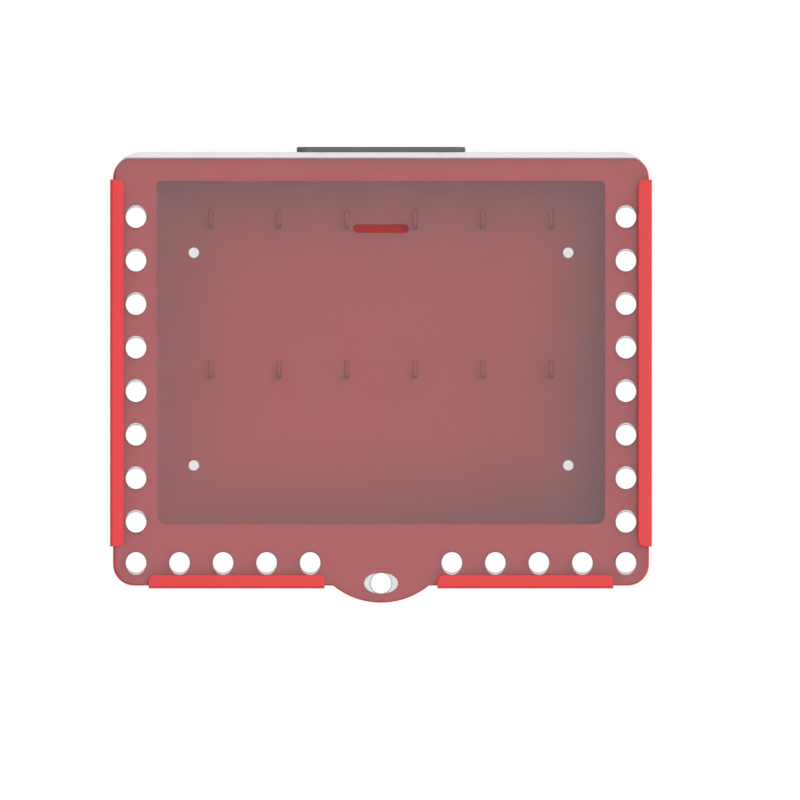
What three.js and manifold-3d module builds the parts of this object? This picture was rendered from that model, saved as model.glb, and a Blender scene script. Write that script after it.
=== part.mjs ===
// Group lockout box: a red sheet-steel case for a wall, with key hooks inside and a clear cover
// that slides up out of its guides. Padlocks through the lock holes keep the cover down.
// Millimetres, +Z up. The front faces -Y. The origin lies on the back wall's outer face, in the
// middle of the four wall holes.

import * as THREE from 'three';
import { mergeVertices } from 'three/addons/utils/BufferGeometryUtils.js';
import Module from 'manifold-3d';

const wasm = await Module();
wasm.setup();

// Sheet steel and its folds
const sheetThickness = 1.2;
const bendInsideRadius = 0.5;
const bendOutsideRadius = bendInsideRadius + sheetThickness;

// Front plate and its tongue. Heights on the front are measured from the plate's bottom edge.
const plateWidth = 314;
const plateHeight = 251.3;
const plateCornerRadius = 12.5;
const tongueRadius = 44.3;
const tongueDrop = 10;
const caseDepth = 60;

// Window in the plate, given by the plate that is left round it
const windowSideRim = 25.65;
const windowTopRim = 14.3;
const windowSill = 35.9;
const windowTopRadius = 1.8;
const windowBottomRadius = 5.7;

// Lock holes: a column down each side, and a row to each side of the main hole. They start at the
// corners and keep their pitch as far as the free ends of the plate allow.
const lockHoleDiameter = 12;
const lockHolePitch = 25.5;
const columnInset = 13.5;
const columnRise = 23.5;
const columnFreeEnd = 30;
const rowHeight = 13.6;
const rowFreeEnd = 30;
const frameHoleExtraWidth = 0.2;
const frameHoleExtraHeight = 1.3;
const frameHoleShift = 0.55;
const mainHoleHeight = 1.4;
const mainSlotExtraWidth = 7.8;
const mainSlotExtraHeight = 0.3;

// Guides folded round the cover's side edges, and lips round its bottom edge
const guideFrontGap = 0.5;
const lipWidth = 8;
const lipCornerRadius = 3.5;
const sideGuideRise = 22.9;
const sideGuideTopInset = 13.4;
const bottomLipSideInset = 20.9;
const bottomLipTongueGap = 5;

// Tray behind the window
const trayLap = 0.8;
const trayCornerRadius = 3;
const weldFlange = 8;

// Wall holes in the back wall, set in from the window's edges
const wallHoleDiameter = 6;
const wallHoleSideInset = 21.35;
const wallHoleTopInset = 41.7;
const wallHoleBottomInset = 34.4;

// Key hooks, bent from round wire and welded to the back wall. Their rows are spread evenly inside
// the window, between the insets.
const hookWireDiameter = 3;
const hookReach = 15;
const hookHeight = 11.4;
const hookBendRadius = 3.6;
const hooksPerRow = 6;
const hookSideInset = 31.35;
const hookRows = 2;
const topHookDrop = 27.8;
const bottomHookRise = 85.3;

// Clear cover panel
const panelThickness = 2.5;
const panelSideInset = 1.1;
const panelBottomInset = 0.6;
const panelTopRadius = 15;
const panelBottomRadius = 12;
const panelBackGap = 0.5;
const panelBendRadius = 1;
const panelRestGap = 0.25;
const lidLipCornerRadius = 5;
const lidLipRearMargin = 7;
const keySlotWidth = 32.4;
const keySlotHeight = 4.7;
const keySlotDrop = 42.2;

// Grip on the cover's top lip, behind its bend, where the lip is flat
const gripWidth = 98.9;
const gripThickness = 3;
const gripCornerRadius = 6;
const gripEdgeRadius = 1;

// Countersunk screws that hold the grip, with washers and nuts under the lip
const screwEndInset = 14.45;
const screwRearInset = 7;
const screwDiameter = 4;
const screwStandOut = 2.6;
const screwHeadDiameter = 7.6;
const screwHeadRim = 0.2;
const screwHeadSink = 0.1;
const screwHoleClearance = 0.25;
const countersinkClearance = 0.25;
const screwPointChamfer = 0.4;
const recessWidth = 4;
const recessSlot = 0.9;
const recessDepth = 1.3;
const washerDiameter = 9;
const washerThickness = 0.8;
const washerBendGap = 3;
const nutSides = 6;
const nutAcrossFlats = 7;
const nutHeight = 3.2;
const nutChamfer = 0.3;
const threadClearance = 0.15;

// How finely round stretches are divided, and how far cutting shapes run past what they cut
const holeSides = 24;
const wireSides = 12;
const domeSteps = 6;
const cornerSteps = 5;
const bendSteps = 4;
const tongueSteps = 16;
const hookSteps = bendSteps + 2;
const overrun = 2;
const weldTolerance = 0.0001;

// Sizes that follow from the sizes above
const windowWidth = plateWidth - 2 * windowSideRim;
const windowHeight = plateHeight - windowSill - windowTopRim;
const columnX = plateWidth / 2 - columnInset;
const columnFoot = rowHeight + columnRise;
const holesPerColumn = copiesThatFit(plateHeight - columnFreeEnd - columnFoot, lockHolePitch);
const holesPerRow = copiesThatFit(columnX - rowFreeEnd, lockHolePitch);
const frameHoleWidth = lockHoleDiameter + frameHoleExtraWidth;
const frameHoleHeight = lockHoleDiameter + frameHoleExtraHeight;
const mainSlotWidth = lockHoleDiameter + mainSlotExtraWidth;
const mainSlotHeight = lockHoleDiameter + mainSlotExtraHeight;
const guideGap = panelBackGap + panelThickness + guideFrontGap;
const foldDepth = sheetThickness + guideGap + sheetThickness;
const wallHoleSpacingX = windowWidth - 2 * wallHoleSideInset;
const wallHoleSpacingZ = windowHeight - wallHoleTopInset - wallHoleBottomInset;
const wallHoleMiddleHeight = windowSill + wallHoleBottomInset + wallHoleSpacingZ / 2;
const hookPitch = (windowWidth - 2 * hookSideInset) / (hooksPerRow - 1);
const hookRowSpacing = (windowHeight - topHookDrop - bottomHookRise) / (hookRows - 1);
const screwSpacing = gripWidth - 2 * screwEndInset;
const screwInset = panelThickness + panelBendRadius + washerBendGap + washerDiameter / 2;
const screwHoleDiameter = screwDiameter + 2 * screwHoleClearance;
const nutSeatDepth = gripThickness - screwHeadSink + panelThickness + washerThickness;
const screwLength = nutSeatDepth + nutHeight + screwStandOut;
const gripFrontInset = panelThickness + panelBendRadius;
const gripSeatDepth = screwInset + screwRearInset;
const lidLipDepth = gripSeatDepth + lidLipRearMargin;

// Planes and places
const plateBackY = -caseDepth;
const plateFrontY = plateBackY - sheetThickness;
const plateBottomZ = -wallHoleMiddleHeight;
const plateTopZ = plateBottomZ + plateHeight;
const windowBottomZ = plateBottomZ + windowSill;
const windowTopZ = windowBottomZ + windowHeight;
const panelBackY = plateFrontY - panelBackGap;
const panelFrontY = panelBackY - panelThickness;
const panelTopZ = plateTopZ + panelRestGap + panelThickness;
const lidLipUnderZ = panelTopZ - panelThickness;
const screwY = panelFrontY + screwInset;

const redPaint = new THREE.MeshStandardMaterial({ color: 0xd62a2e, roughness: 0.42, metalness: 0 });
const clearPlastic = new THREE.MeshStandardMaterial({
  color: 0xb4b6b8,
  roughness: 0.15,
  metalness: 0,
  transparent: true,
  opacity: 0.37
});
const blackPlastic = new THREE.MeshStandardMaterial({ color: 0x161616, roughness: 0.4, metalness: 0 });
const zincPlate = new THREE.MeshStandardMaterial({ color: 0xb9bcc0, roughness: 0.35, metalness: 0.9 });

// How many holes, one pitch apart, a stretch has room for
function copiesThatFit(room, pitch) {
  return 1 + Math.floor(room / pitch);
}

// A closed geometry as a solid that can be joined and cut. Triangles that merging its vertices
// leaves without area are dropped.
function toSolid(geometry) {
  const bare = geometry.clone();
  bare.deleteAttribute('normal');
  bare.deleteAttribute('uv');
  const merged = mergeVertices(bare, weldTolerance);
  const corners = merged.index.array;
  const faces = [];
  for (let start = 0; start < corners.length; start += 3) {
    const [a, b, c] = corners.slice(start, start + 3);
    if (a !== b && b !== c && c !== a) faces.push(a, b, c);
  }
  return new wasm.Manifold(new wasm.Mesh({
    numProp: 3,
    vertProperties: merged.attributes.position.array,
    triVerts: Uint32Array.from(faces)
  }));
}

function toGeometry(solid) {
  const mesh = solid.getMesh();
  const geometry = new THREE.BufferGeometry();
  geometry.setAttribute('position', new THREE.BufferAttribute(mesh.vertProperties, 3));
  geometry.setIndex(new THREE.BufferAttribute(mesh.triVerts, 1));
  geometry.computeVertexNormals();
  return geometry;
}

function join(solids) {
  return solids.reduce((whole, solid) => whole.add(solid));
}

// An arc as [across, up] points. Every outline is a list of such points, and turns count
// anticlockwise from the across axis.
function arc(centreA, centreB, radius, startTurn, endTurn, steps) {
  return Array.from({ length: steps + 1 }, (_, step) => {
    const angle = 2 * Math.PI * (startTurn + (endTurn - startTurn) * step / steps);
    return [centreA + radius * Math.cos(angle), centreB + radius * Math.sin(angle)];
  });
}

// Rectangle from its limits, with one radius for its lower and one for its upper corners
function roundedBox(left, right, bottom, top, lowerRadius, upperRadius) {
  return [
    ...arc(right - lowerRadius, bottom + lowerRadius, lowerRadius, -1 / 4, 0, cornerSteps),
    ...arc(right - upperRadius, top - upperRadius, upperRadius, 0, 1 / 4, cornerSteps),
    ...arc(left + upperRadius, top - upperRadius, upperRadius, 1 / 4, 1 / 2, cornerSteps),
    ...arc(left + lowerRadius, bottom + lowerRadius, lowerRadius, 1 / 2, 3 / 4, cornerSteps)
  ];
}

function oval(centreA, centreB, width, height) {
  const round = arc(0, 0, 1 / 2, 0, 1, holeSides).slice(0, holeSides);
  return round.map(([across, up]) => [centreA + width * across, centreB + height * up]);
}

function toShape(outline, holes = []) {
  const shape = new THREE.Shape(outline.map(([a, b]) => new THREE.Vector2(a, b)));
  shape.holes = holes.map((hole) => new THREE.Path(hole.map(([a, b]) => new THREE.Vector2(a, b))));
  return shape;
}

function straight(outline, holes, depth) {
  return new THREE.ExtrudeGeometry(toShape(outline, holes), { depth, bevelEnabled: false });
}

// An outline seen from the front (x, z), made thick from frontY to backY
function alongY(outline, frontY, backY, holes = []) {
  const geometry = straight(outline, holes, backY - frontY);
  return toSolid(geometry.rotateX(Math.PI / 2).translate(0, backY, 0));
}

// An outline seen from the side (y, z), made wide from leftX to rightX
function alongX(outline, leftX, rightX) {
  const axes = new THREE.Matrix4().makeBasis(
    new THREE.Vector3(0, 1, 0),
    new THREE.Vector3(0, 0, 1),
    new THREE.Vector3(1, 0, 0)
  );
  return toSolid(straight(outline, [], rightX - leftX).applyMatrix4(axes).translate(leftX, 0, 0));
}

// An outline seen from above (x, y), made tall from bottomZ to topZ
function alongZ(outline, bottomZ, topZ, holes = []) {
  return toSolid(straight(outline, holes, topZ - bottomZ).translate(0, 0, bottomZ));
}

function block(left, right, front, back, bottom, top) {
  return alongZ([[left, front], [right, front], [right, back], [left, back]], bottom, top);
}

// A solid of revolution about the vertical axis. Its profile of [radius, height] points climbs from
// the axis and comes back to it.
function turned(profile) {
  const points = profile.map(([radius, height]) => new THREE.Vector2(radius, height));
  return toSolid(new THREE.LatheGeometry(points, holeSides).rotateX(Math.PI / 2));
}

// Places of the lock holes, as { x, z, shift }, where shift is how far the frame's hole is raised
function lockHoles() {
  const places = [];
  for (const side of [-1, 1]) {
    for (let index = 0; index < holesPerRow; index += 1) {
      const x = side * (columnX - index * lockHolePitch);
      places.push({ x, z: plateBottomZ + rowHeight, shift: -frameHoleShift });
    }
    for (let index = 0; index < holesPerColumn; index += 1) {
      const z = plateBottomZ + columnFoot + index * lockHolePitch;
      places.push({ x: side * columnX, z, shift: frameHoleShift });
    }
  }
  return places;
}

// Outline of a plate with rounded corners and a round tongue below its bottom edge. The tongue's
// arc always has the plate's own centre, so the cover's outline runs inside the frame's.
function tonguedOutline(sideInset, bottomInset, top, lowerRadius, upperRadius) {
  const halfWidth = plateWidth / 2 - sideInset;
  const bottom = plateBottomZ + bottomInset;
  const radius = tongueRadius - bottomInset;
  const centreZ = plateBottomZ + tongueRadius - tongueDrop;
  const tongueTurn = Math.acos((centreZ - bottom) / radius) / (2 * Math.PI);
  const corners = roundedBox(-halfWidth, halfWidth, bottom, top, lowerRadius, upperRadius);
  const tongue = arc(0, centreZ, radius, 3 / 4 - tongueTurn, 3 / 4 + tongueTurn, tongueSteps);
  return [...corners, ...tongue];
}

// How far from the middle the tongue leaves the plate's bottom edge
function tongueHalfWidth() {
  return Math.sqrt(tongueRadius ** 2 - (tongueRadius - tongueDrop) ** 2);
}

// Section of an edge folded forward and back over the cover, as [outward, forward] points. It
// starts one overlap inside the plate, whose edge is the first bend line.
function foldSection() {
  const overlap = sheetThickness;
  const lipEdge = bendOutsideRadius - lipWidth;
  const firstBend = bendOutsideRadius;
  const secondBend = foldDepth - bendOutsideRadius;
  return [
    [-overlap, 0],
    ...arc(0, firstBend, bendOutsideRadius, -1 / 4, 0, bendSteps),
    ...arc(0, secondBend, bendOutsideRadius, 0, 1 / 4, bendSteps),
    [lipEdge, foldDepth],
    [lipEdge, foldDepth - sheetThickness],
    ...arc(0, secondBend, bendInsideRadius, 1 / 4, 0, bendSteps),
    ...arc(0, firstBend, bendInsideRadius, 0, -1 / 4, bendSteps),
    [-overlap, sheetThickness]
  ];
}

function sideGuide(side) {
  const bottom = plateBottomZ + sideGuideRise;
  const top = plateTopZ - sideGuideTopInset;
  const section = foldSection().map(([outward, forward]) => {
    return [side * (plateWidth / 2 + outward), plateBackY - forward];
  });
  const outerX = side * (plateWidth / 2 + bendOutsideRadius);
  const innerX = outerX - side * lipWidth;
  const farX = outerX + side * lipCornerRadius;
  const left = Math.min(innerX, farX);
  const right = Math.max(innerX, farX);
  const outline = roundedBox(left, right, bottom, top, lipCornerRadius, lipCornerRadius);
  const front = alongY(outline, plateBackY - foldDepth - overrun, plateBackY + overrun);
  return alongZ(section, bottom, top).intersect(front);
}

function bottomLip(side) {
  const nearX = side * (tongueHalfWidth() + bottomLipTongueGap);
  const farX = side * (plateWidth / 2 - bottomLipSideInset);
  const left = Math.min(nearX, farX);
  const right = Math.max(nearX, farX);
  const section = foldSection().map(([outward, forward]) => {
    return [plateBackY - forward, plateBottomZ - outward];
  });
  const bottom = plateBottomZ - bendOutsideRadius;
  const outline = roundedBox(left, right, bottom - lipCornerRadius, bottom + lipWidth,
    lipCornerRadius, lipCornerRadius);
  const front = alongY(outline, plateBackY - foldDepth - overrun, plateBackY + overrun);
  return alongX(section, left, right).intersect(front);
}

function windowOutline() {
  return roundedBox(-windowWidth / 2, windowWidth / 2, windowBottomZ, windowTopZ,
    windowBottomRadius, windowTopRadius);
}

function frontFrame() {
  const outline = tonguedOutline(0, 0, plateTopZ, plateCornerRadius, plateCornerRadius);
  const lockOvals = lockHoles().map(({ x, z, shift }) => {
    return oval(x, z + shift, frameHoleWidth, frameHoleHeight);
  });
  const mainSlot = oval(0, plateBottomZ + mainHoleHeight, mainSlotWidth, mainSlotHeight);
  const plate = alongY(outline, plateFrontY, plateBackY, [windowOutline(), mainSlot, ...lockOvals]);
  return join([plate, sideGuide(-1), sideGuide(1), bottomLip(-1), bottomLip(1)]);
}

// The tray's outline at its inner faces, grown by the given margin
function trayOutline(margin) {
  const grown = trayLap + margin;
  const halfWidth = windowWidth / 2 + grown;
  const radius = trayCornerRadius + margin;
  return roundedBox(-halfWidth, halfWidth, windowBottomZ - grown, windowTopZ + grown, radius, radius);
}

// A deep body whose back edge is rounded, from the front plane to backY
function roundedBack(outline, radius, frontY, backY) {
  const geometry = new THREE.ExtrudeGeometry(toShape(outline), {
    depth: backY - frontY,
    bevelThickness: radius,
    bevelSize: radius,
    bevelOffset: -radius,
    bevelSegments: bendSteps
  });
  return toSolid(geometry.rotateX(Math.PI / 2).translate(0, backY - radius, 0));
}

function wallHoles() {
  const holes = [];
  for (const sideX of [-1, 1]) {
    for (const sideZ of [-1, 1]) {
      holes.push(oval(sideX * wallHoleSpacingX / 2, sideZ * wallHoleSpacingZ / 2,
        wallHoleDiameter, wallHoleDiameter));
    }
  }
  return holes;
}

function backBox() {
  const halfWidth = windowWidth / 2 + trayLap;
  const reach = trayLap + sheetThickness + weldFlange;
  const outside = roundedBack(trayOutline(sheetThickness), bendOutsideRadius, plateBackY, 0);
  const inside = roundedBack(trayOutline(0), bendInsideRadius, plateBackY - overrun, -sheetThickness);
  const flanges = block(-halfWidth, halfWidth, plateBackY, plateBackY + sheetThickness,
    windowBottomZ - reach, windowTopZ + reach);
  const frontBevelY = plateBackY - 2 * bendOutsideRadius - overrun;
  const frontBevel = alongY(trayOutline(sheetThickness + overrun), frontBevelY, plateBackY);
  const holes = wallHoles().map((outline) => alongY(outline, -sheetThickness - overrun, overrun));
  return outside.add(flanges).subtract(join([inside, frontBevel, ...holes]));
}

// Centre line of a hook from its weld point: one step out of the wall along -Y, the bend's steps,
// and one step up
class HookLine extends THREE.Curve {
  getPoint(share, target = new THREE.Vector3()) {
    const step = share * hookSteps;
    const outLength = hookReach - hookBendRadius;
    if (step < 1) return target.set(0, -outLength * step, 0);
    const angle = Math.min((step - 1) / bendSteps, 1) * Math.PI / 2;
    const forward = outLength + hookBendRadius * Math.sin(angle);
    const upLength = hookHeight - hookWireDiameter - hookBendRadius;
    const risen = upLength * Math.max(step - 1 - bendSteps, 0);
    return target.set(0, -forward, hookBendRadius * (1 - Math.cos(angle)) + risen);
  }

  // Keeps the steps where getPoint puts them, and doesn't spread them evenly along the wire
  getUtoTmapping(share) {
    return share;
  }
}

function keyHook() {
  const wireRadius = hookWireDiameter / 2;
  const section = arc(0, 0, wireRadius, 0, 1, wireSides).slice(0, wireSides);
  const wire = new THREE.ExtrudeGeometry(toShape(section), {
    steps: hookSteps,
    extrudePath: new HookLine()
  });
  const tip = new THREE.SphereGeometry(wireRadius, wireSides, domeSteps);
  tip.rotateX(Math.PI / 2).translate(0, -hookReach, hookHeight - hookWireDiameter);
  return toSolid(wire).add(toSolid(tip));
}

// Section of the cover through its top lip, as (y, z) points
function coverSection() {
  const outerRadius = panelBendRadius + panelThickness;
  const centreY = panelFrontY + outerRadius;
  const centreZ = panelTopZ - outerRadius;
  const rearY = panelFrontY + lidLipDepth;
  const lowZ = plateBottomZ - tongueDrop;
  return [
    [panelFrontY, lowZ],
    [panelBackY, lowZ],
    ...arc(centreY, centreZ, panelBendRadius, 1 / 2, 1 / 4, bendSteps),
    [rearY, lidLipUnderZ],
    [rearY, panelTopZ],
    ...arc(centreY, centreZ, outerRadius, 1 / 4, 1 / 2, bendSteps)
  ];
}

// Outline of the cover from above: the flat sheet's full width, and the narrower lip behind it
function coverPlan() {
  const halfWidth = plateWidth / 2;
  const halfLip = halfWidth - panelSideInset - panelTopRadius;
  const rearY = panelFrontY + lidLipDepth;
  const cornerY = rearY - lidLipCornerRadius;
  const cornerX = halfLip - lidLipCornerRadius;
  return [
    [-halfWidth, panelFrontY - overrun],
    [halfWidth, panelFrontY - overrun],
    [halfWidth, panelBackY],
    [halfLip, panelBackY],
    ...arc(cornerX, cornerY, lidLipCornerRadius, 0, 1 / 4, cornerSteps),
    ...arc(-cornerX, cornerY, lidLipCornerRadius, 1 / 4, 1 / 2, cornerSteps),
    [-halfLip, panelBackY],
    [-halfWidth, panelBackY]
  ];
}

function screwPlaces() {
  return [-screwSpacing / 2, screwSpacing / 2];
}

function coverPanel() {
  const outline = tonguedOutline(panelSideInset, panelBottomInset, panelTopZ,
    panelBottomRadius, panelTopRadius);
  const lockRounds = lockHoles().map(({ x, z }) => oval(x, z, lockHoleDiameter, lockHoleDiameter));
  const mainRound = oval(0, plateBottomZ + mainHoleHeight, lockHoleDiameter, lockHoleDiameter);
  const slotZ = plateTopZ - keySlotDrop;
  const slotRadius = keySlotHeight / 2;
  const keySlot = roundedBox(-keySlotWidth / 2, keySlotWidth / 2, slotZ - slotRadius, slotZ + slotRadius,
    slotRadius, slotRadius);
  const fromFront = alongY(outline, panelFrontY - overrun, panelFrontY + lidLipDepth + overrun,
    [keySlot, mainRound, ...lockRounds]);
  const fromSide = alongX(coverSection(), -plateWidth / 2, plateWidth / 2);
  const fromAbove = alongZ(coverPlan(), plateBottomZ - tongueDrop, panelTopZ + overrun);
  const screwHoles = screwPlaces().map((x) => {
    const round = oval(x, screwY, screwHoleDiameter, screwHoleDiameter);
    return alongZ(round, lidLipUnderZ - overrun, panelTopZ + overrun);
  });
  return fromFront.intersect(fromSide).intersect(fromAbove).subtract(join(screwHoles));
}

// The grip plate, with its upper edge rounded and its two screw holes countersunk
function gripPlate() {
  const outline = roundedBox(-gripWidth / 2, gripWidth / 2, panelFrontY + gripFrontInset,
    panelFrontY + gripSeatDepth, gripCornerRadius, gripCornerRadius);
  const round = new THREE.ExtrudeGeometry(toShape(outline), {
    depth: gripThickness - gripEdgeRadius,
    bevelThickness: gripEdgeRadius,
    bevelSize: gripEdgeRadius,
    bevelOffset: -gripEdgeRadius,
    bevelSegments: bendSteps
  });
  const plate = toSolid(round.translate(0, 0, panelTopZ));
  const lowerBevel = block(-gripWidth, gripWidth, screwY - gripWidth, screwY + gripWidth,
    panelTopZ - 2 * gripEdgeRadius, panelTopZ);
  const headRadius = screwHeadDiameter / 2 + countersinkClearance;
  const holeRadius = screwHoleDiameter / 2;
  const rimZ = -screwHeadSink - screwHeadRim;
  const countersink = turned([
    [0, -gripThickness - overrun],
    [holeRadius, -gripThickness - overrun],
    [holeRadius, rimZ - headRadius + holeRadius],
    [headRadius, rimZ],
    [headRadius, overrun],
    [0, overrun]
  ]);
  const sinks = screwPlaces().map((x) => {
    return countersink.translate([x, screwY, panelTopZ + gripThickness]);
  });
  return plate.subtract(join([lowerBevel, ...sinks]));
}

// A countersunk screw about the middle of its head's top face, pointing down, with a cross recess
function gripScrew() {
  const headRadius = screwHeadDiameter / 2;
  const shankRadius = screwDiameter / 2;
  const body = turned([
    [0, -screwLength],
    [shankRadius - screwPointChamfer, -screwLength],
    [shankRadius, screwPointChamfer - screwLength],
    [shankRadius, -screwHeadRim - headRadius + shankRadius],
    [headRadius, -screwHeadRim],
    [headRadius, 0],
    [0, 0]
  ]);
  const halfLength = recessWidth / 2;
  const halfSlot = recessSlot / 2;
  const acrossX = block(-halfLength, halfLength, -halfSlot, halfSlot, -recessDepth, overrun);
  const acrossY = block(-halfSlot, halfSlot, -halfLength, halfLength, -recessDepth, overrun);
  return body.subtract(acrossX).subtract(acrossY);
}

function gripWasher() {
  const ring = oval(0, 0, washerDiameter, washerDiameter);
  const hole = oval(0, 0, screwHoleDiameter, screwHoleDiameter);
  return alongZ(ring, 0, washerThickness, [hole]);
}

function gripNut() {
  const flatRadius = nutAcrossFlats / 2;
  const pointRadius = flatRadius / Math.cos(Math.PI / nutSides);
  const boreDiameter = screwDiameter + 2 * threadClearance;
  const hexagon = arc(0, 0, pointRadius, 0, 1, nutSides).slice(0, nutSides);
  const prism = alongZ(hexagon, 0, nutHeight, [oval(0, 0, boreDiameter, boreDiameter)]);
  const chamfers = turned([
    [0, 0],
    [flatRadius, 0],
    [pointRadius, nutChamfer],
    [pointRadius, nutHeight - nutChamfer],
    [flatRadius, nutHeight],
    [0, nutHeight]
  ]);
  return prism.intersect(chamfers);
}

function named(name, geometry, material, x = 0, y = 0, z = 0) {
  const mesh = new THREE.Mesh(geometry, material.clone());
  mesh.name = name;
  mesh.position.set(x, y, z);
  return mesh;
}

function caseGroup() {
  const group = new THREE.Group();
  group.add(named('front_frame', toGeometry(frontFrame()), redPaint));
  group.add(named('back_box', toGeometry(backBox()), redPaint));
  const hook = toGeometry(keyHook());
  const topRowZ = windowTopZ - topHookDrop + hookWireDiameter / 2;
  for (let row = 0; row < hookRows; row += 1) {
    for (let index = 0; index < hooksPerRow; index += 1) {
      const x = (index - (hooksPerRow - 1) / 2) * hookPitch;
      const z = topRowZ - row * hookRowSpacing;
      group.add(named(`hook_${row + 1}_${index + 1}`, hook, redPaint, x, -sheetThickness, z));
    }
  }
  return group;
}

function coverGroup() {
  const group = new THREE.Group();
  const headZ = panelTopZ + gripThickness - screwHeadSink;
  const washerZ = lidLipUnderZ - washerThickness;
  const screw = toGeometry(gripScrew());
  const washer = toGeometry(gripWasher());
  const nut = toGeometry(gripNut());
  group.add(named('cover_panel', toGeometry(coverPanel()), clearPlastic));
  group.add(named('grip_plate', toGeometry(gripPlate()), blackPlastic));
  for (const x of screwPlaces()) {
    const side = x < 0 ? 'left' : 'right';
    group.add(named(`grip_screw_${side}`, screw, zincPlate, x, screwY, headZ));
    group.add(named(`grip_washer_${side}`, washer, zincPlate, x, screwY, washerZ));
    group.add(named(`grip_nut_${side}`, nut, zincPlate, x, screwY, washerZ - nutHeight));
  }
  return group;
}

const lockoutBox = new THREE.Group();
lockoutBox.add(caseGroup(), coverGroup());

export default lockoutBox;
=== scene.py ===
# %% [markdown]
# A group lockout box keeps a machine switched off while several people work on it. Its keys hang on
# hooks in a red steel case, behind a clear cover, and each worker closes a padlock of their own
# through one of the holes. This lesson dresses the measured frame of such a box. Its sheets are
# made in Blender as a workshop makes them: cut flat, with their edges rounded, and then folded.

# %% Load the measured frame
import math

import bmesh
import bpy
import numpy as np
from mathutils import Matrix, Vector
from mathutils.geometry import delaunay_2d_cdt


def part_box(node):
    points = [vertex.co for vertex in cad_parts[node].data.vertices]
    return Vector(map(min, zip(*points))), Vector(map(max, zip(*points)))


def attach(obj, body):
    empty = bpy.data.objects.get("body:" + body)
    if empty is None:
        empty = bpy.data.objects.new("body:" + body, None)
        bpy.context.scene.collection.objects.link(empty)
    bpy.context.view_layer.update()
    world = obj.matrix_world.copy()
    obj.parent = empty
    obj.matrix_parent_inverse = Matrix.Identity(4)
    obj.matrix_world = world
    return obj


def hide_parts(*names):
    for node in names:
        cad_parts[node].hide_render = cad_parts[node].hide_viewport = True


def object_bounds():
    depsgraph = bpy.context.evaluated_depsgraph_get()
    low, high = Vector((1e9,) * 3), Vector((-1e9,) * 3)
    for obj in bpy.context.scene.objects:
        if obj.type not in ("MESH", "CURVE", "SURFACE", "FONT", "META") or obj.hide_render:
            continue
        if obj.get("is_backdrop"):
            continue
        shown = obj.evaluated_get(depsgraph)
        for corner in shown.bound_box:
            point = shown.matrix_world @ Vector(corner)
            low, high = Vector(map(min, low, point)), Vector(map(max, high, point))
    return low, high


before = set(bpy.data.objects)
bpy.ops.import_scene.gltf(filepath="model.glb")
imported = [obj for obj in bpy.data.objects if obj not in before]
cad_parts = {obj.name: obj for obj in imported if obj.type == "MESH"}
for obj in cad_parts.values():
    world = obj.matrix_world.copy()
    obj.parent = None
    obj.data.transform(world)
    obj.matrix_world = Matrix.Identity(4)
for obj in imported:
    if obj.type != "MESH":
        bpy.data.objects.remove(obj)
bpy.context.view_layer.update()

# %% [markdown]
# All sizes are metres. Those that the frame knows, such as where the plate's front face lies, are
# read from it, so that nothing has to be fitted afterwards. The others are the real sizes that the
# frame was built with: sheet thickness, bend radius, hole pitch.

# %% Sizes of the case and the cover
MM = 0.001
SHEET = 1.2 * MM
BEND_INSIDE = 0.5 * MM
TONGUE_RADIUS = 44.3 * MM
TONGUE_DROP = 10 * MM
PANEL_SHEET = 2.5 * MM

front_low, front_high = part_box("front_frame")
panel_low, panel_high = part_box("cover_panel")
plate_back = front_high.y
plate_front = plate_back - SHEET
plate_top = front_high.z
plate_bottom = front_low.z + TONGUE_DROP
half_width = front_high.x - BEND_INSIDE - SHEET
print(f"plate {2 * half_width / MM:.1f} mm wide, {(plate_top - plate_bottom) / MM:.1f} mm high")

# %% [markdown]
# The photograph was taken from far away, straight from the front, so nothing in it grows smaller
# with distance. An orthographic camera would give the same, but a very long lens has a practical
# side: it can still be moved round the object and fits it into the frame. The lens and the distance
# go together, so that the picture is as wide at the plate as the photograph is.

# %% Camera
PIXELS_PER_METRE = 1707
PICTURE_WIDTH = 800
BOX_MIDDLE_COLUMN = 381.0
PLATE_BOTTOM_ROW = 585.6
LENS = 1500

middle = PICTURE_WIDTH / 2
aim_x = (middle - BOX_MIDDLE_COLUMN) / PIXELS_PER_METRE
aim_z = plate_bottom + (PLATE_BOTTOM_ROW - middle) / PIXELS_PER_METRE
camera_data = bpy.data.cameras.new("camera")
camera_data.lens = LENS
camera_data.clip_end = 200
distance = PICTURE_WIDTH / PIXELS_PER_METRE * LENS / camera_data.sensor_width
camera = bpy.data.objects.new("camera", camera_data)
camera.location = (aim_x, plate_front - distance, aim_z)
camera.rotation_euler = (math.radians(90), 0, 0)
bpy.context.scene.collection.objects.link(camera)
bpy.context.scene.camera = camera
print(f"camera {distance:.2f} m away, aimed at x {aim_x / MM:.1f}, z {aim_z / MM:.1f} mm")

# %% [markdown]
# Materials and Geometry Nodes trees are both made of nodes. One small function adds a node, sets
# it up and links it. A colour is written as the hex value that a paint chart or a picture editor
# shows, and one function turns it into the linear values that Blender works with.

# %% Helpers for nodes and colours
def node(tree, kind, sockets=None, **settings):
    """Adds a node. A socket takes a value, an output to link, or a list of outputs."""
    made = tree.nodes.new(kind)
    for name, value in settings.items():
        setattr(made, name, value)
    for key, value in (sockets or {}).items():
        links = value if isinstance(value, list) else [value]
        if isinstance(links[0], bpy.types.NodeSocket):
            for link in links:
                tree.links.new(link, made.inputs[key])
        else:
            made.inputs[key].default_value = value
    return made


def calculate(tree, operation, first, second=0.0):
    return node(tree, "ShaderNodeMath", {0: first, 1: second}, operation=operation).outputs["Value"]


def linear(hex_colour):
    """An sRGB hex colour as linear red, green, blue and alpha."""
    shares = [int(hex_colour[place:place + 2], 16) / 255 for place in (1, 3, 5)]
    return (*((s / 12.92 if s <= 0.04045 else ((s + 0.055) / 1.055) ** 2.4) for s in shares), 1.0)


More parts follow.
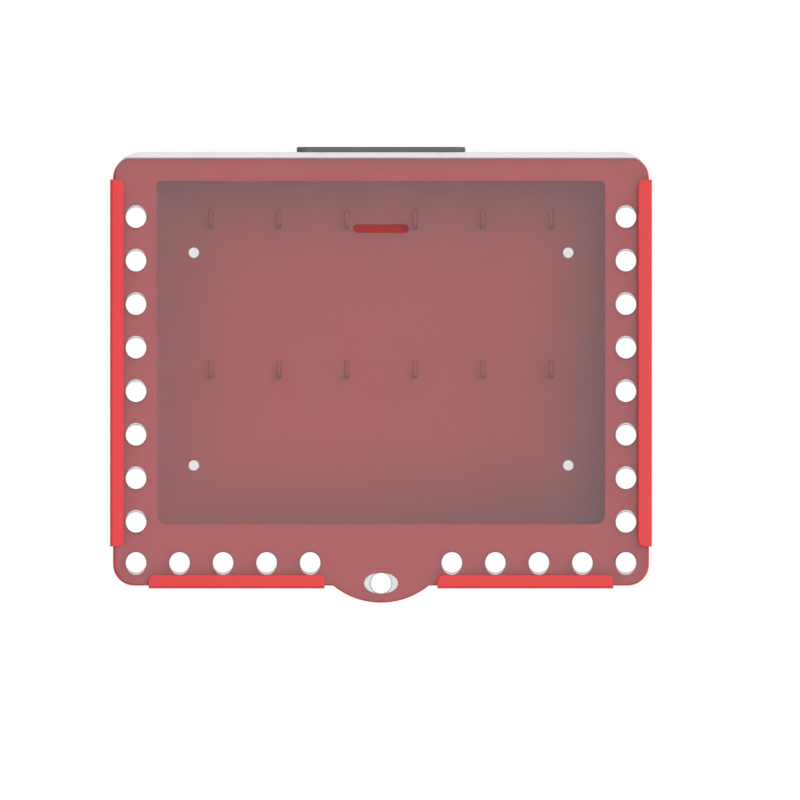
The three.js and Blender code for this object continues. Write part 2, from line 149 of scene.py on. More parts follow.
def new_material(name, slot):
    """An empty material, its output node and the record's slot that it belongs to."""
    material = bpy.data.materials.new(name)
    material.use_nodes = True
    material.node_tree.nodes.clear()
    material["slot"] = slot
    return material, material.node_tree


print("red of the paint in linear light:", [round(share, 3) for share in linear("#DD2429")])

# %% [markdown]
# The case is powder-coated steel. Powder is sprayed on dry and melted in an oven, which leaves an
# even, deep colour with a soft gloss and a slight ripple, called orange peel, of about 2 mm from
# crest to crest. Real waves in the mesh would cost millions of faces, so a bump makes them. The
# paint also pools a little, which the eye reads as faint clouds in the colour.

# %% Powder-coated steel
ORANGE_PEEL = 2.0 * MM
PAINT_CLOUD = 45 * MM
POWDER_GRAIN = 0.5 * MM
# Colour of the painted shade inside the tray's recess.
RECESS_SHADE_COLOUR = "#BC1E22"


def powder_coated_steel(name, painted_shade_mask=None, shade_colour=RECESS_SHADE_COLOUR):
    """The paint. Its optional function adds nodes that return where shade is painted into the colour, which then
    darkens towards the given shade colour.
    """
    material, tree = new_material(name, "red_powder_coat")
    place = node(tree, "ShaderNodeTexCoord").outputs["Object"]
    clouds = node(tree, "ShaderNodeTexNoise", {"Vector": place, "Scale": 1 / PAINT_CLOUD, "Detail": 3.0})
    colour = node(tree, "ShaderNodeMix", {
        "Factor": clouds.outputs["Fac"],
        "A": linear("#D92328"),
        "B": linear("#E1262B"),
    }, data_type="RGBA").outputs["Result"]
    # Optional painted shade: the colour darkens where the given function says shade falls.
    if painted_shade_mask:
        colour = node(tree, "ShaderNodeMix", {
            "Factor": painted_shade_mask(tree, place),
            "A": colour,
            "B": linear(shade_colour),
        }, data_type="RGBA").outputs["Result"]
    grain = node(tree, "ShaderNodeTexNoise", {"Vector": place, "Scale": 1 / POWDER_GRAIN, "Detail": 1.0})
    roughness = node(tree, "ShaderNodeMapRange", {
        "Value": grain.outputs["Fac"], "To Min": 0.33, "To Max": 0.43,
    })
    peel = node(tree, "ShaderNodeTexNoise", {"Vector": place, "Scale": 1 / ORANGE_PEEL, "Detail": 1.0})
    bump = node(tree, "ShaderNodeBump", {
        "Strength": 0.25, "Distance": 0.03 * MM, "Height": peel.outputs["Fac"],
    })
    coat = node(tree, "ShaderNodeBsdfPrincipled", {
        "Base Color": colour,
        "Roughness": roughness.outputs["Result"],
        "IOR": 1.5,
        "Normal": bump.outputs["Normal"],
    })
    node(tree, "ShaderNodeOutputMaterial", {"Surface": coat.outputs["BSDF"]})
    return material


paint = powder_coated_steel("powder_coated_steel")
print("orange peel every", ORANGE_PEEL / MM, "mm")

# %% [markdown]
# The cover is a clear polycarbonate sheet with a light grey tint. Seen through it, white paper
# loses about a tenth of its brightness, and the red case behind it looks veiled, because the sheet
# scatters some of the light that falls on its front. So each face of the sheet is a mix: mostly
# transparent, and a small share of a glossy grey. The share varies slightly with wipe marks. The
# sawn edges are duller, and their dark reddish tint is painted light: it stands in for the darkening
# that an edge gives where it bends light away, and for the red that the case sends into the sheet.
# The bend along the top is stress-whitened, as polycarbonate is when it is folded cold, so it is
# drawn as a nearly solid, pale strip.

# %% Polycarbonate sheet
WIPE_MARK = 30 * MM
SCRATCH = 1.5 * MM
BEND_REACH = 3.5 * MM
BEND_FADE = 0.8 * MM
FACE_VEIL = 0.19
EDGE_VEIL = 0.42
BEND_VEIL = 0.92
FACE_LOSS = 0.11
EDGE_LOSS = 0.5


def bend_zone(tree, place):
    """1 on the front of the cover's bend, 0 on the rest of the sheet, with a soft border."""
    parts = node(tree, "ShaderNodeSeparateXYZ", {"Vector": place}).outputs
    low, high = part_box("cover_panel")
    high_up = node(tree, "ShaderNodeMapRange", {
        "Value": parts["Z"], "From Min": high.z - BEND_REACH - BEND_FADE, "From Max": high.z - BEND_REACH + BEND_FADE,
    }, interpolation_type="SMOOTHSTEP").outputs["Result"]
    in_front = node(tree, "ShaderNodeMapRange", {
        "Value": parts["Y"], "From Min": low.y + BEND_REACH + BEND_FADE, "From Max": low.y + BEND_REACH - BEND_FADE,
    }, interpolation_type="SMOOTHSTEP").outputs["Result"]
    return calculate(tree, "MULTIPLY", high_up, in_front)


def polycarbonate(name, veil, tint_colour, roughness, loss):
    material, tree = new_material(name, "clear_sheet")
    place = node(tree, "ShaderNodeTexCoord").outputs["Object"]
    bent = bend_zone(tree, place)
    marks = node(tree, "ShaderNodeTexNoise", {"Vector": place, "Scale": 1 / WIPE_MARK, "Detail": 4.0})
    share = node(tree, "ShaderNodeMapRange", {
        "Value": marks.outputs["Fac"], "To Min": veil - 0.015, "To Max": veil + 0.015,
    }).outputs["Result"]
    share = node(tree, "ShaderNodeMix", {"Factor": bent, "A": share, "B": BEND_VEIL}).outputs["Result"]
    arriving = node(tree, "ShaderNodeLightPath").outputs["Is Shadow Ray"]
    share = calculate(tree, "ADD", share, calculate(tree, "MULTIPLY", arriving, loss))
    colour = node(tree, "ShaderNodeMix", {
        "Factor": bent,
        "A": linear(tint_colour),
        "B": linear("#E9EAEB"),
    }, data_type="RGBA").outputs["Result"]
    stretched = node(tree, "ShaderNodeMapping", {"Vector": place, "Scale": (1.0, 1.0, 8.0)})
    scratches = node(tree, "ShaderNodeTexNoise", {
        "Vector": stretched.outputs["Vector"], "Scale": 1 / (8 * SCRATCH), "Detail": 2.0,
    })
    bump = node(tree, "ShaderNodeBump", {
        "Strength": 0.01, "Distance": 0.01 * MM, "Height": scratches.outputs["Fac"],
    })
    gloss = node(tree, "ShaderNodeMapRange", {
        "Value": scratches.outputs["Fac"], "To Min": roughness - 0.03, "To Max": roughness + 0.05,
    })
    tint = node(tree, "ShaderNodeBsdfPrincipled", {
        "Base Color": colour,
        "Roughness": gloss.outputs["Result"],
        "IOR": 1.58,
        "Normal": bump.outputs["Normal"],
    })
    clear = node(tree, "ShaderNodeBsdfTransparent", {"Color": (1.0, 1.0, 1.0, 1.0)})
    sheet = node(tree, "ShaderNodeMixShader", {
        0: share, 1: clear.outputs["BSDF"], 2: tint.outputs["BSDF"],
    })
    node(tree, "ShaderNodeOutputMaterial", {"Surface": sheet.outputs["Shader"]})
    return material


clear_face = polycarbonate("polycarbonate_sheet", FACE_VEIL, "#939699", 0.12, FACE_LOSS)
# The sawn edges' dark reddish tint is painted light: the darkening at an edge and the red of the case.
clear_edge = polycarbonate("polycarbonate_sawn_edge", EDGE_VEIL, "#6B5152", 0.35, EDGE_LOSS)
print("light through both faces:", round((1 - FACE_VEIL) ** 2, 3))

# %% [markdown]
# The grip is moulded from black nylon. Its mould was spark-eroded, which leaves a fine, even grain
# on the plastic. The real grain is a tenth of a millimetre, too fine for the picture, so it is
# drawn at half a millimetre. Black plastic isn't black to a camera: it mirrors a bright room
# faintly. Its colour here is a dark grey, partly the nylon's own near-black and partly a painted
# reflection of that room, on top of the gloss that the shader gives.

# %% Moulded nylon
MOULD_GRAIN = 0.5 * MM
FLOW_MARK = 18 * MM


def moulded_nylon():
    material, tree = new_material("moulded_nylon", "black_nylon")
    place = node(tree, "ShaderNodeTexCoord").outputs["Object"]
    flow = node(tree, "ShaderNodeTexNoise", {"Vector": place, "Scale": 1 / FLOW_MARK, "Detail": 2.0})
    # The dark grey is partly the nylon's own near-black and partly a painted reflection of a bright room.
    colour = node(tree, "ShaderNodeMix", {
        "Factor": flow.outputs["Fac"],
        "A": linear("#4C4D4F"),
        "B": linear("#555658"),
    }, data_type="RGBA")
    grain = node(tree, "ShaderNodeTexNoise", {"Vector": place, "Scale": 1 / MOULD_GRAIN, "Detail": 2.0})
    roughness = node(tree, "ShaderNodeMapRange", {
        "Value": grain.outputs["Fac"], "To Min": 0.38, "To Max": 0.52,
    })
    bump = node(tree, "ShaderNodeBump", {
        "Strength": 0.3, "Distance": 0.02 * MM, "Height": grain.outputs["Fac"],
    })
    plastic = node(tree, "ShaderNodeBsdfPrincipled", {
        "Base Color": colour.outputs["Result"],
        "Roughness": roughness.outputs["Result"],
        "IOR": 1.53,
        "Normal": bump.outputs["Normal"],
    })
    node(tree, "ShaderNodeOutputMaterial", {"Surface": plastic.outputs["BSDF"]})
    return material


nylon = moulded_nylon()
print("mould grain drawn at", MOULD_GRAIN / MM, "mm")

# %% [markdown]
# The screws, washers and nuts are zinc-plated steel. The plating is a metal, so nearly all it
# shows is reflection, and the thin film on it shifts slightly between bluish and yellowish white.
# Barrel plating knocks the parts together, which dulls them unevenly.

# %% Zinc-plated steel
PLATING_PATCH = 3 * MM
TUMBLE_MARK = 0.4 * MM


def zinc_plated_steel():
    material, tree = new_material("zinc_plated_steel", "zinc_plate")
    place = node(tree, "ShaderNodeTexCoord").outputs["Object"]
    patches = node(tree, "ShaderNodeTexNoise", {"Vector": place, "Scale": 1 / PLATING_PATCH, "Detail": 2.0})
    colour = node(tree, "ShaderNodeMix", {
        "Factor": patches.outputs["Fac"],
        "A": linear("#C3CAD2"),
        "B": linear("#D3D0C4"),
    }, data_type="RGBA")
    marks = node(tree, "ShaderNodeTexNoise", {"Vector": place, "Scale": 1 / TUMBLE_MARK, "Detail": 2.0})
    roughness = node(tree, "ShaderNodeMapRange", {
        "Value": marks.outputs["Fac"], "To Min": 0.22, "To Max": 0.42,
    })
    bump = node(tree, "ShaderNodeBump", {
        "Strength": 0.2, "Distance": 0.01 * MM, "Height": marks.outputs["Fac"],
    })
    metal = node(tree, "ShaderNodeBsdfPrincipled", {
        "Base Color": colour.outputs["Result"],
        "Metallic": 1.0,
        "Roughness": roughness.outputs["Result"],
        "Normal": bump.outputs["Normal"],
    })
    node(tree, "ShaderNodeOutputMaterial", {"Surface": metal.outputs["BSDF"]})
    return material


zinc = zinc_plated_steel()
print("materials:", [material.name for material in (paint, clear_face, clear_edge, nylon, zinc)])

# %% [markdown]
# A sheet is described by its outlines, seen from the front: lists of points that run anticlockwise
# round the sheet and clockwise round a hole, so that the material always lies to the left. That one
# rule lets a single function move any outline into the material, which is what rounding an edge
# needs.

# %% Helpers for outlines
CORNER_STEPS = 10


def arc(centre, radius, start, end, steps=CORNER_STEPS):
    """Points of an arc. start and end are shares of a full turn, anticlockwise from the right."""
    turns = [math.tau * (start + (end - start) * step / steps) for step in range(steps + 1)]
    return [centre + radius * Vector((math.cos(turn), math.sin(turn))) for turn in turns]


def rounded_box(left, right, bottom, top, lower, upper):
    """Rectangle with one radius for its lower and one for its upper corners."""
    return [
        *arc(Vector((right - lower, bottom + lower)), lower, -1 / 4, 0),
        *arc(Vector((right - upper, top - upper)), upper, 0, 1 / 4),
        *arc(Vector((left + upper, top - upper)), upper, 1 / 4, 1 / 2),
        *arc(Vector((left + lower, bottom + lower)), lower, 1 / 2, 3 / 4),
    ]


def inset(outline, distance):
    """Moves a closed outline into the material, which lies to its left."""
    moved = []
    for before, here, after in zip(outline[-1:] + outline, outline, outline[1:] + outline[:1]):
        coming = (here - before).normalized()
        going = (after - here).normalized()
        sideways = Vector((-coming.y - going.y, coming.x + going.x))
        moved.append(here + sideways * distance / (1 + coming.dot(going)))
    return moved


square = [Vector((0, 0)), Vector((1, 0)), Vector((1, 1)), Vector((0, 1))]
print("a unit square moved in by a quarter starts at", tuple(inset(square, 0.25)[0]))

# %% [markdown]
# A flat sheet, called a blank, is built from two things. Its rims are strips of faces that follow
# each outline and carry the rounded edge. Its two flat faces are filled between the rims with
# triangles. The fill must respect fold lines, or a triangle would later cut across a bend, so it is
# made by a constrained triangulation, to which each fold line is given as an edge.
# The blank's Y is its depth: zero on the front face, the thickness on the back face.

# %% Helpers for blanks
EDGE_STEPS = 3
TOUCHING = 0.001 * MM


def rounded_edge(thickness, front_radius, back_radius):
    """(inset, depth) of a sheet's edge, from its front face round to its back face."""
    turns = [math.pi / 2 * step / EDGE_STEPS for step in range(EDGE_STEPS + 1)]
    front = [(front_radius * (1 - math.sin(t)), front_radius * (1 - math.cos(t))) for t in turns]
    back = [(back_radius * (1 - math.sin(t)), thickness - back_radius * (1 - math.cos(t))) for t in turns]
    return front + back[::-1]


def bridge(mesh, rings, material_index=0):
    """Adds faces between each ring of corners and the next."""
    for ring, deeper in zip(rings, rings[1:]):
        for here, after, below, below_after in zip(ring, ring[1:] + ring[:1], deeper, deeper[1:] + deeper[:1]):
            face = mesh.faces.new((here, below, below_after, after))
            face.material_index = material_index
    return rings[0], rings[-1]


def add_rim(mesh, outline, profile, material_index=0):
    """Adds one ring of corners for each (inset, depth), and faces between them."""
    rings = []
    for step, depth in profile:
        rings.append([mesh.verts.new((point.x, depth, point.y)) for point in inset(outline, step)])
    return bridge(mesh, rings, material_index)


def inside(points, rings):
    """Tells which points lie inside an odd number of rings."""
    starts = np.concatenate(rings)
    ends = np.concatenate([np.roll(ring, -1, axis=0) for ring in rings])
    slopes = (ends[:, 0] - starts[:, 0]) / np.where(ends[:, 1] == starts[:, 1], 1, ends[:, 1] - starts[:, 1])
    across, up = points[:, :1], points[:, 1:]
    crosses = (starts[:, 1] > up) != (ends[:, 1] > up)
    right_of = across < starts[:, 0] + (up - starts[:, 1]) * slopes
    return (crosses & right_of).sum(axis=1) % 2 == 1


def add_cap(mesh, rings, creases=(), facing_front=True, material_index=0):
    """Fills a flat face between rings of corners. Creases are pairs of corners on a fold line."""
    corners = [corner for ring in rings for corner in ring]
    number = {corner: index for index, corner in enumerate(corners)}
    edges = [(number[a], number[b]) for ring in rings for a, b in zip(ring, ring[1:] + ring[:1])]
    edges += [(number[a], number[b]) for a, b in creases]
    flat = [Vector((corner.co.x, corner.co.z)) for corner in corners]
    places, _, triangles, sources, _, _ = delaunay_2d_cdt(flat, edges, [], 0, TOUCHING / 100)
    middles = np.array([[sum(places[i][axis] for i in triangle) / 3 for axis in (0, 1)] for triangle in triangles])
    outlines = [np.array([(corner.co.x, corner.co.z) for corner in ring]) for ring in rings]
    for triangle, kept in zip(triangles, inside(middles, outlines)):
        if kept:
            used = [corners[sources[i][0]] for i in triangle]
            face = mesh.faces.new(used if facing_front else used[::-1])
            face.material_index = material_index


def border_rings(mesh, depth):
    """Reads the open rings of edges that lie at one depth, as lists of corners."""
    follows = {}
    for edge in mesh.edges:
        if edge.is_boundary and all(abs(corner.co.y - depth) < TOUCHING for corner in edge.verts):
            for corner in edge.verts:
                follows.setdefault(corner, []).append(edge.other_vert(corner))
    rings = []
    while follows:
        ring = [next(iter(follows))]
        while True:
            onward = [corner for corner in follows.pop(ring[-1]) if corner in follows]
            if not onward:
                break
            ring.append(onward[0])
        rings.append(ring)
    return rings


print("rings in a rounded edge:", len(rounded_edge(SHEET, BEND_INSIDE, BEND_INSIDE)))

# %% [markdown]
# A finished mesh becomes a piece: its corners are merged, its faces turned outwards, and its
# shading smoothed with normals weighted by face size, which keeps large flat faces flat right up
# to their rounded edges. The result is copied into a plain mesh, so that no modifier stays live.

# %% Helpers for pieces
SHARP_DEGREES = 38


def plain_copy(holder):
    """The mesh that an object's modifiers give, as a plain mesh."""
    graph = bpy.context.evaluated_depsgraph_get()
    return bpy.data.meshes.new_from_object(holder.evaluated_get(graph), depsgraph=graph)


def to_object(name, mesh, materials):
    """Turns a mesh in the making into an object that shades smoothly."""
    data = bpy.data.meshes.new(name)
    mesh.to_mesh(data)
    mesh.free()
    for material in materials:
        data.materials.append(material)
    data.shade_smooth()
    data.set_sharp_from_angle(angle=math.radians(SHARP_DEGREES))
    holder = bpy.data.objects.new(name, data)
    bpy.context.scene.collection.objects.link(holder)
    weighted = holder.modifiers.new("weighted normals", "WEIGHTED_NORMAL")
    weighted.mode = "FACE_AREA"
    weighted.keep_sharp = True
    finished = plain_copy(holder)
    holder.modifiers.clear()
    holder.data = finished
    return holder


def close(mesh):
    """Merges a mesh's doubles, turns its faces outwards and counts its open edges."""
    bmesh.ops.remove_doubles(mesh, verts=mesh.verts, dist=TOUCHING)
    bmesh.ops.dissolve_degenerate(mesh, edges=mesh.edges, dist=TOUCHING / 10)
    bmesh.ops.recalc_face_normals(mesh, faces=mesh.faces)
    return sum(not edge.is_manifold for edge in mesh.edges)


def report(piece):
    """Prints how many faces a piece has and how large it is."""
    size = [round(length / MM, 2) for length in piece.dimensions]
    print(f"{piece.name}: {len(piece.data.polygons)} faces, {size} mm")


# %% [markdown]
# The lock holes repeat by a rule: a column down each side and a row to each side of the main hole,
# all at one pitch. That is work for Geometry Nodes. The tree sweeps a rounded edge round an oval,
# which gives the rim of one hole, sets copies of it on lines of points, and realizes them. The same
# tree serves both sheets. The case's holes are slightly larger than the cover's and sit a little
# outwards, so that a shackle still passes when the cover rests low in its guides.

# %% Geometry Nodes: the rims of the lock holes
LOCK_HOLE = 12 * MM
LOCK_PITCH = 25.5 * MM
COLUMN_INSET = 13.5 * MM
ROW_HEIGHT = 13.6 * MM
COLUMN_RISE = 23.5 * MM
MAIN_HOLE_HEIGHT = 1.4 * MM
HOLES_IN_COLUMN = 8
HOLES_IN_ROW = 5
HOLE_SIDES = 48


def sized_tree(name, sizes):
    """A Geometry Nodes tree with a named input for each size."""
    kinds = {int: "NodeSocketInt", float: "NodeSocketFloat", bpy.types.Material: "NodeSocketMaterial",
             bpy.types.Object: "NodeSocketObject"}
    tree = bpy.data.node_groups.new(name, "GeometryNodeTree")
    tree.is_modifier = True
    tree.interface.new_socket("Geometry", in_out="OUTPUT", socket_type="NodeSocketGeometry")
    for title, value in sizes.items():
        tree.interface.new_socket(title, in_out="INPUT", socket_type=kinds[type(value)])
    return tree, tree.nodes.new("NodeGroupInput").outputs


def grown(tree, sizes):
    """Runs a tree with the given sizes and returns its result as a plain mesh."""
    holder = bpy.data.objects.new(tree.name, bpy.data.meshes.new(tree.name))
    bpy.context.scene.collection.objects.link(holder)
    modifier = holder.modifiers.new(tree.name, "NODES")
    modifier.node_group = tree
    for item in tree.interface.items_tree:
        if item.in_out == "INPUT":
            modifier[item.identifier] = sizes[item.name]
    result = plain_copy(holder)
    bpy.data.objects.remove(holder)
    return result


def vector(tree, x=0.0, y=0.0, z=0.0):
    return node(tree, "ShaderNodeCombineXYZ", {"X": x, "Y": y, "Z": z}).outputs["Vector"]


def swept_rim(tree, given, width, height):
    """The rim of one oval hole, upright, with its front face at Y zero."""
    flat = calculate(tree, "MULTIPLY", given["Edge Radius"], 2.0)
    corners = node(tree, "GeometryNodeCurvePrimitiveQuadrilateral", {
        "Point 1": vector(tree, flat),
        "Point 2": vector(tree),
        "Point 3": vector(tree, y=given["Thickness"]),
        "Point 4": vector(tree, flat, given["Thickness"]),
    }, mode="POINTS").outputs["Curve"]
    opened = node(tree, "GeometryNodeSetSplineCyclic", {"Geometry": corners, "Cyclic": False}).outputs[0]
    profile = node(tree, "GeometryNodeFilletCurve", {
        "Curve": opened, "Count": EDGE_STEPS, "Radius": given["Edge Radius"],
    }, mode="POLY").outputs["Curve"]
    circle = node(tree, "GeometryNodeCurvePrimitiveCircle", {
        "Resolution": given["Sides"], "Radius": 0.5,
    }).outputs["Curve"]
    oval = node(tree, "GeometryNodeTransform", {
        "Geometry": circle, "Scale": vector(tree, width, height, 1.0),
    }).outputs["Geometry"]
    rim = node(tree, "GeometryNodeCurveToMesh", {"Curve": oval, "Profile Curve": profile}).outputs["Mesh"]
    upright = (math.radians(90), 0, 0)
    return node(tree, "GeometryNodeTransform", {"Geometry": rim, "Rotation": upright}).outputs["Geometry"]


def lock_hole_tree(sizes):
    tree, given = sized_tree("lock hole rims", sizes)
    raised = calculate(tree, "ADD", given["Column Foot"], given["Shift"])
    lowered = calculate(tree, "SUBTRACT", given["Row Height"], given["Shift"])
    lines = []
    for side in (-1.0, 1.0):
        column_x = calculate(tree, "MULTIPLY", given["Column X"], side)
        inwards = calculate(tree, "MULTIPLY", given["Pitch"], -side)
        lines.append(node(tree, "GeometryNodeMeshLine", {
            "Count": given["Column Count"],
            "Start Location": vector(tree, column_x, z=raised),
            "Offset": vector(tree, z=given["Pitch"]),
        }).outputs["Mesh"])
        lines.append(node(tree, "GeometryNodeMeshLine", {
            "Count": given["Row Count"],
            "Start Location": vector(tree, column_x, z=lowered),
            "Offset": vector(tree, inwards),
        }).outputs["Mesh"])
    points = node(tree, "GeometryNodeJoinGeometry", {"Geometry": lines}).outputs["Geometry"]
    holes = node(tree, "GeometryNodeInstanceOnPoints", {
        "Points": points,
        "Instance": swept_rim(tree, given, given["Hole Width"], given["Hole Height"]),
    }).outputs["Instances"]
    main = node(tree, "GeometryNodeTransform", {
        "Geometry": swept_rim(tree, given, given["Main Width"], given["Main Height"]),
        "Translation": vector(tree, z=given["Main Z"]),
    }).outputs["Geometry"]
    both = node(tree, "GeometryNodeJoinGeometry", {"Geometry": [holes, main]}).outputs["Geometry"]
    real = node(tree, "GeometryNodeRealizeInstances", {"Geometry": both}).outputs["Geometry"]
    coated = node(tree, "GeometryNodeSetMaterial", {
        "Geometry": real, "Material": given["Material"],
    }).outputs["Geometry"]
    node(tree, "NodeGroupOutput", {"Geometry": coated})
    return tree


case_hole_sizes = {
    "Hole Width": LOCK_HOLE + 0.2 * MM,
    "Hole Height": LOCK_HOLE + 1.3 * MM,
    "Shift": 0.55 * MM,
    "Main Width": LOCK_HOLE + 7.8 * MM,
    "Main Height": LOCK_HOLE + 0.3 * MM,
    "Main Z": plate_bottom + MAIN_HOLE_HEIGHT,
    "Pitch": LOCK_PITCH,
    "Column X": half_width - COLUMN_INSET,
    "Column Foot": plate_bottom + ROW_HEIGHT + COLUMN_RISE,
    "Column Count": HOLES_IN_COLUMN,
    "Row Height": plate_bottom + ROW_HEIGHT,
    "Row Count": HOLES_IN_ROW,
    "Thickness": SHEET,
    "Edge Radius": 0.25 * MM,
    "Sides": HOLE_SIDES,
    "Material": paint,
}
hole_tree = lock_hole_tree(case_hole_sizes)
case_rims = grown(hole_tree, case_hole_sizes)
print("lock hole rims:", len(case_rims.polygons), "faces")

# %% [markdown]
# A folded edge starts as a flat tab on the blank. The tab carries the corners of its free end and
# the stations where the bends will turn it, and each station is also a crease from one side of the
# tab to the other. How long a tab must be follows from the neutral fibre, the layer inside the
# sheet that neither stretches nor shrinks, here in the middle of the thickness.

# %% Blank of the front frame
GUIDE_GAP = 3.5 * MM
LIP_WIDTH = 8 * MM
LIP_CORNER = 3.5 * MM
FOLD_STEPS = 8
SHEET_EDGE = 0.25 * MM

bend_outside = BEND_INSIDE + SHEET
guide_web = GUIDE_GAP - 2 * BEND_INSIDE
bend_run = math.pi / 2 * (BEND_INSIDE + SHEET / 2)
lip_run = 2 * bend_run + guide_web + LIP_WIDTH - bend_outside


def fold_stations():
    """How far from the plate's edge the creases of one folded edge lie."""
    first = [bend_run * step / FOLD_STEPS for step in range(1, FOLD_STEPS + 1)]
    return [0.0, *first, *(bend_run + guide_web + run for run in [0.0, *first])]


def tab(first, last, outward):
    """Outline of a tab between two points of the plate's edge, and its creases as index pairs."""
    along = (last - first).normalized()
    leg = [first + outward * run for run in fold_stations()]
    back = [last + outward * run for run in fold_stations()]
    turns = [math.pi / 2 * step / CORNER_STEPS for step in range(CORNER_STEPS + 1)]
    reach = outward * (lip_run - LIP_CORNER)
    near = [first + along * LIP_CORNER + reach
            + LIP_CORNER * (outward * math.sin(turn) - along * math.cos(turn)) for turn in turns]
    far = [last - along * LIP_CORNER + reach
           + LIP_CORNER * (outward * math.cos(turn) + along * math.sin(turn)) for turn in turns]
    outline = [*leg, *near, *far, *back[::-1]]
    return outline, [(index, len(outline) - 1 - index) for index in range(len(leg))]


def joined(*parts):
    """Joins stretches of an outline. A stretch is a list of points, or such a list and creases."""
    outline = []
    creases = []
    for part in parts:
        points, pairs = part if isinstance(part, tuple) else (part, [])
        creases += [(len(outline) + a, len(outline) + b) for a, b in pairs]
        outline += points
    return outline, creases


PLATE_CORNER = 12.5 * MM
GUIDE_RISE = 22.9 * MM
GUIDE_TOP_INSET = 13.4 * MM
LIP_SIDE_INSET = 20.9 * MM
LIP_TONGUE_GAP = 5 * MM
TONGUE_STEPS = 40

tongue_centre = Vector((0, plate_bottom + TONGUE_RADIUS - TONGUE_DROP))
tongue_half = math.sqrt(TONGUE_RADIUS ** 2 - (TONGUE_RADIUS - TONGUE_DROP) ** 2)
lip_near = tongue_half + LIP_TONGUE_GAP
lip_far = half_width - LIP_SIDE_INSET
guide_low = plate_bottom + GUIDE_RISE
guide_high = plate_top - GUIDE_TOP_INSET


def plate_corner(side, height, start):
    centre = Vector((side * (half_width - PLATE_CORNER), height))
    return arc(centre, PLATE_CORNER, start, start + 1 / 4)


def tongue(radius, bottom):
    """The round tongue below an edge at the given height, from left to right."""
    turn = math.acos((tongue_centre.y - bottom) / radius) / math.tau
    return arc(tongue_centre, radius, 3 / 4 - turn, 3 / 4 + turn, TONGUE_STEPS)


down, right, left = Vector((0, -1)), Vector((1, 0)), Vector((-1, 0))
frame_outline, frame_creases = joined(
    plate_corner(-1, plate_bottom + PLATE_CORNER, 1 / 2),
    tab(Vector((-lip_far, plate_bottom)), Vector((-lip_near, plate_bottom)), down),
    tongue(TONGUE_RADIUS, plate_bottom),
    tab(Vector((lip_near, plate_bottom)), Vector((lip_far, plate_bottom)), down),
    plate_corner(1, plate_bottom + PLATE_CORNER, 3 / 4),
    tab(Vector((half_width, guide_low)), Vector((half_width, guide_high)), right),
    plate_corner(1, plate_top - PLATE_CORNER, 0),
    plate_corner(-1, plate_top - PLATE_CORNER, 1 / 4),
    tab(Vector((-half_width, guide_high)), Vector((-half_width, guide_low)), left),
)
print(f"tabs {lip_run / MM:.2f} mm long, {len(frame_outline)} points, {len(frame_creases)} creases")

# %% [markdown]
# The blank is filled while it is still flat, as a laser would cut it: outline, window and lock
# holes first. Then each corner of the mesh is carried round the bends. A corner's run past the
# fold line decides how far it turns, and its depth in the sheet decides on what radius.

# %% Front frame, cut and folded
WINDOW_SIDE = 25.65 * MM
WINDOW_TOP = 14.3 * MM
WINDOW_SILL = 35.9 * MM
WINDOW_TOP_RADIUS = 1.8 * MM
WINDOW_BOTTOM_RADIUS = 5.7 * MM

window_half = half_width - WINDOW_SIDE
window_bottom = plate_bottom + WINDOW_SILL
window_top = plate_top - WINDOW_TOP
window_outline = rounded_box(-window_half, window_half, window_bottom, window_top,
                             WINDOW_BOTTOM_RADIUS, WINDOW_TOP_RADIUS)


def cut_sheet(rims, thickness, outline, creases, cut_outs, front_radius, back_radius, rim_material=0):
    """A flat blank as a mesh: rims from Geometry Nodes, an outline, cut-outs and two flat faces."""
    mesh = bmesh.new()
    front_rings, back_rings = [], []
    if rims:
        mesh.from_mesh(rims)
        for face in mesh.faces:
            face.material_index = rim_material
        front_rings = border_rings(mesh, 0.0)
        back_rings = border_rings(mesh, thickness)
    edge = rounded_edge(thickness, front_radius, back_radius)
    front, back = add_rim(mesh, outline, edge, rim_material)
    front_creases = [(front[a], front[b]) for a, b in creases]
    back_creases = [(back[a], back[b]) for a, b in creases]
    front_rings.append(front)
    back_rings.append(back)
    for cut_out in cut_outs:
        front, back = add_rim(mesh, cut_out[::-1], edge, rim_material)
        front_rings.append(front)
        back_rings.append(back)
    add_cap(mesh, front_rings, front_creases)
    add_cap(mesh, back_rings, back_creases, facing_front=False)
    return mesh


def folded(run, depth):
    """(outward, Y) of a point that lies past the fold line, after both bends."""
    radius = BEND_INSIDE + depth
    centre_y = plate_front - BEND_INSIDE
    turn = min(run / bend_run, 1) * math.pi / 2
    if run <= bend_run:
        return radius * math.sin(turn), centre_y + radius * math.cos(turn)
    run -= bend_run
    if run <= guide_web:
        return radius, centre_y - run
    run -= guide_web
    centre_y -= guide_web
    turn = min(run / bend_run, 1) * math.pi / 2
    past = max(run - bend_run, 0)
    return radius * math.cos(turn) - past, centre_y - radius * math.sin(turn)


def fold_frame(mesh):
    for corner in mesh.verts:
        across, depth, height = corner.co
        side_run = abs(across) - half_width
        low_run = plate_bottom - height
        if side_run > 0:
            outward, corner.co.y = folded(side_run, depth)
            corner.co.x = math.copysign(half_width + outward, across)
        elif low_run > 0 and abs(across) > tongue_half + LIP_TONGUE_GAP / 2:
            outward, corner.co.y = folded(low_run, depth)
            corner.co.z = plate_bottom - outward
        else:
            corner.co.y = plate_front + depth


blank = cut_sheet(case_rims, SHEET, frame_outline, frame_creases, [window_outline],
                  SHEET_EDGE, SHEET_EDGE)
fold_frame(blank)
print("open edges of the front frame:", close(blank))
folded_front = to_object("folded_front", blank, [paint])
report(folded_front)

# %% [markdown]
# The tray is a box pressed and welded from the same steel. Its section is one line that runs from
# the inside of the back wall forward, round the front rim and back along the outside, so one call
# of the rim function builds all four walls at once. Then the back wall is filled on both sides,
# around four holes for the wall screws. Above and below, a flange reaches behind the plate, where
# it would be spot-welded.

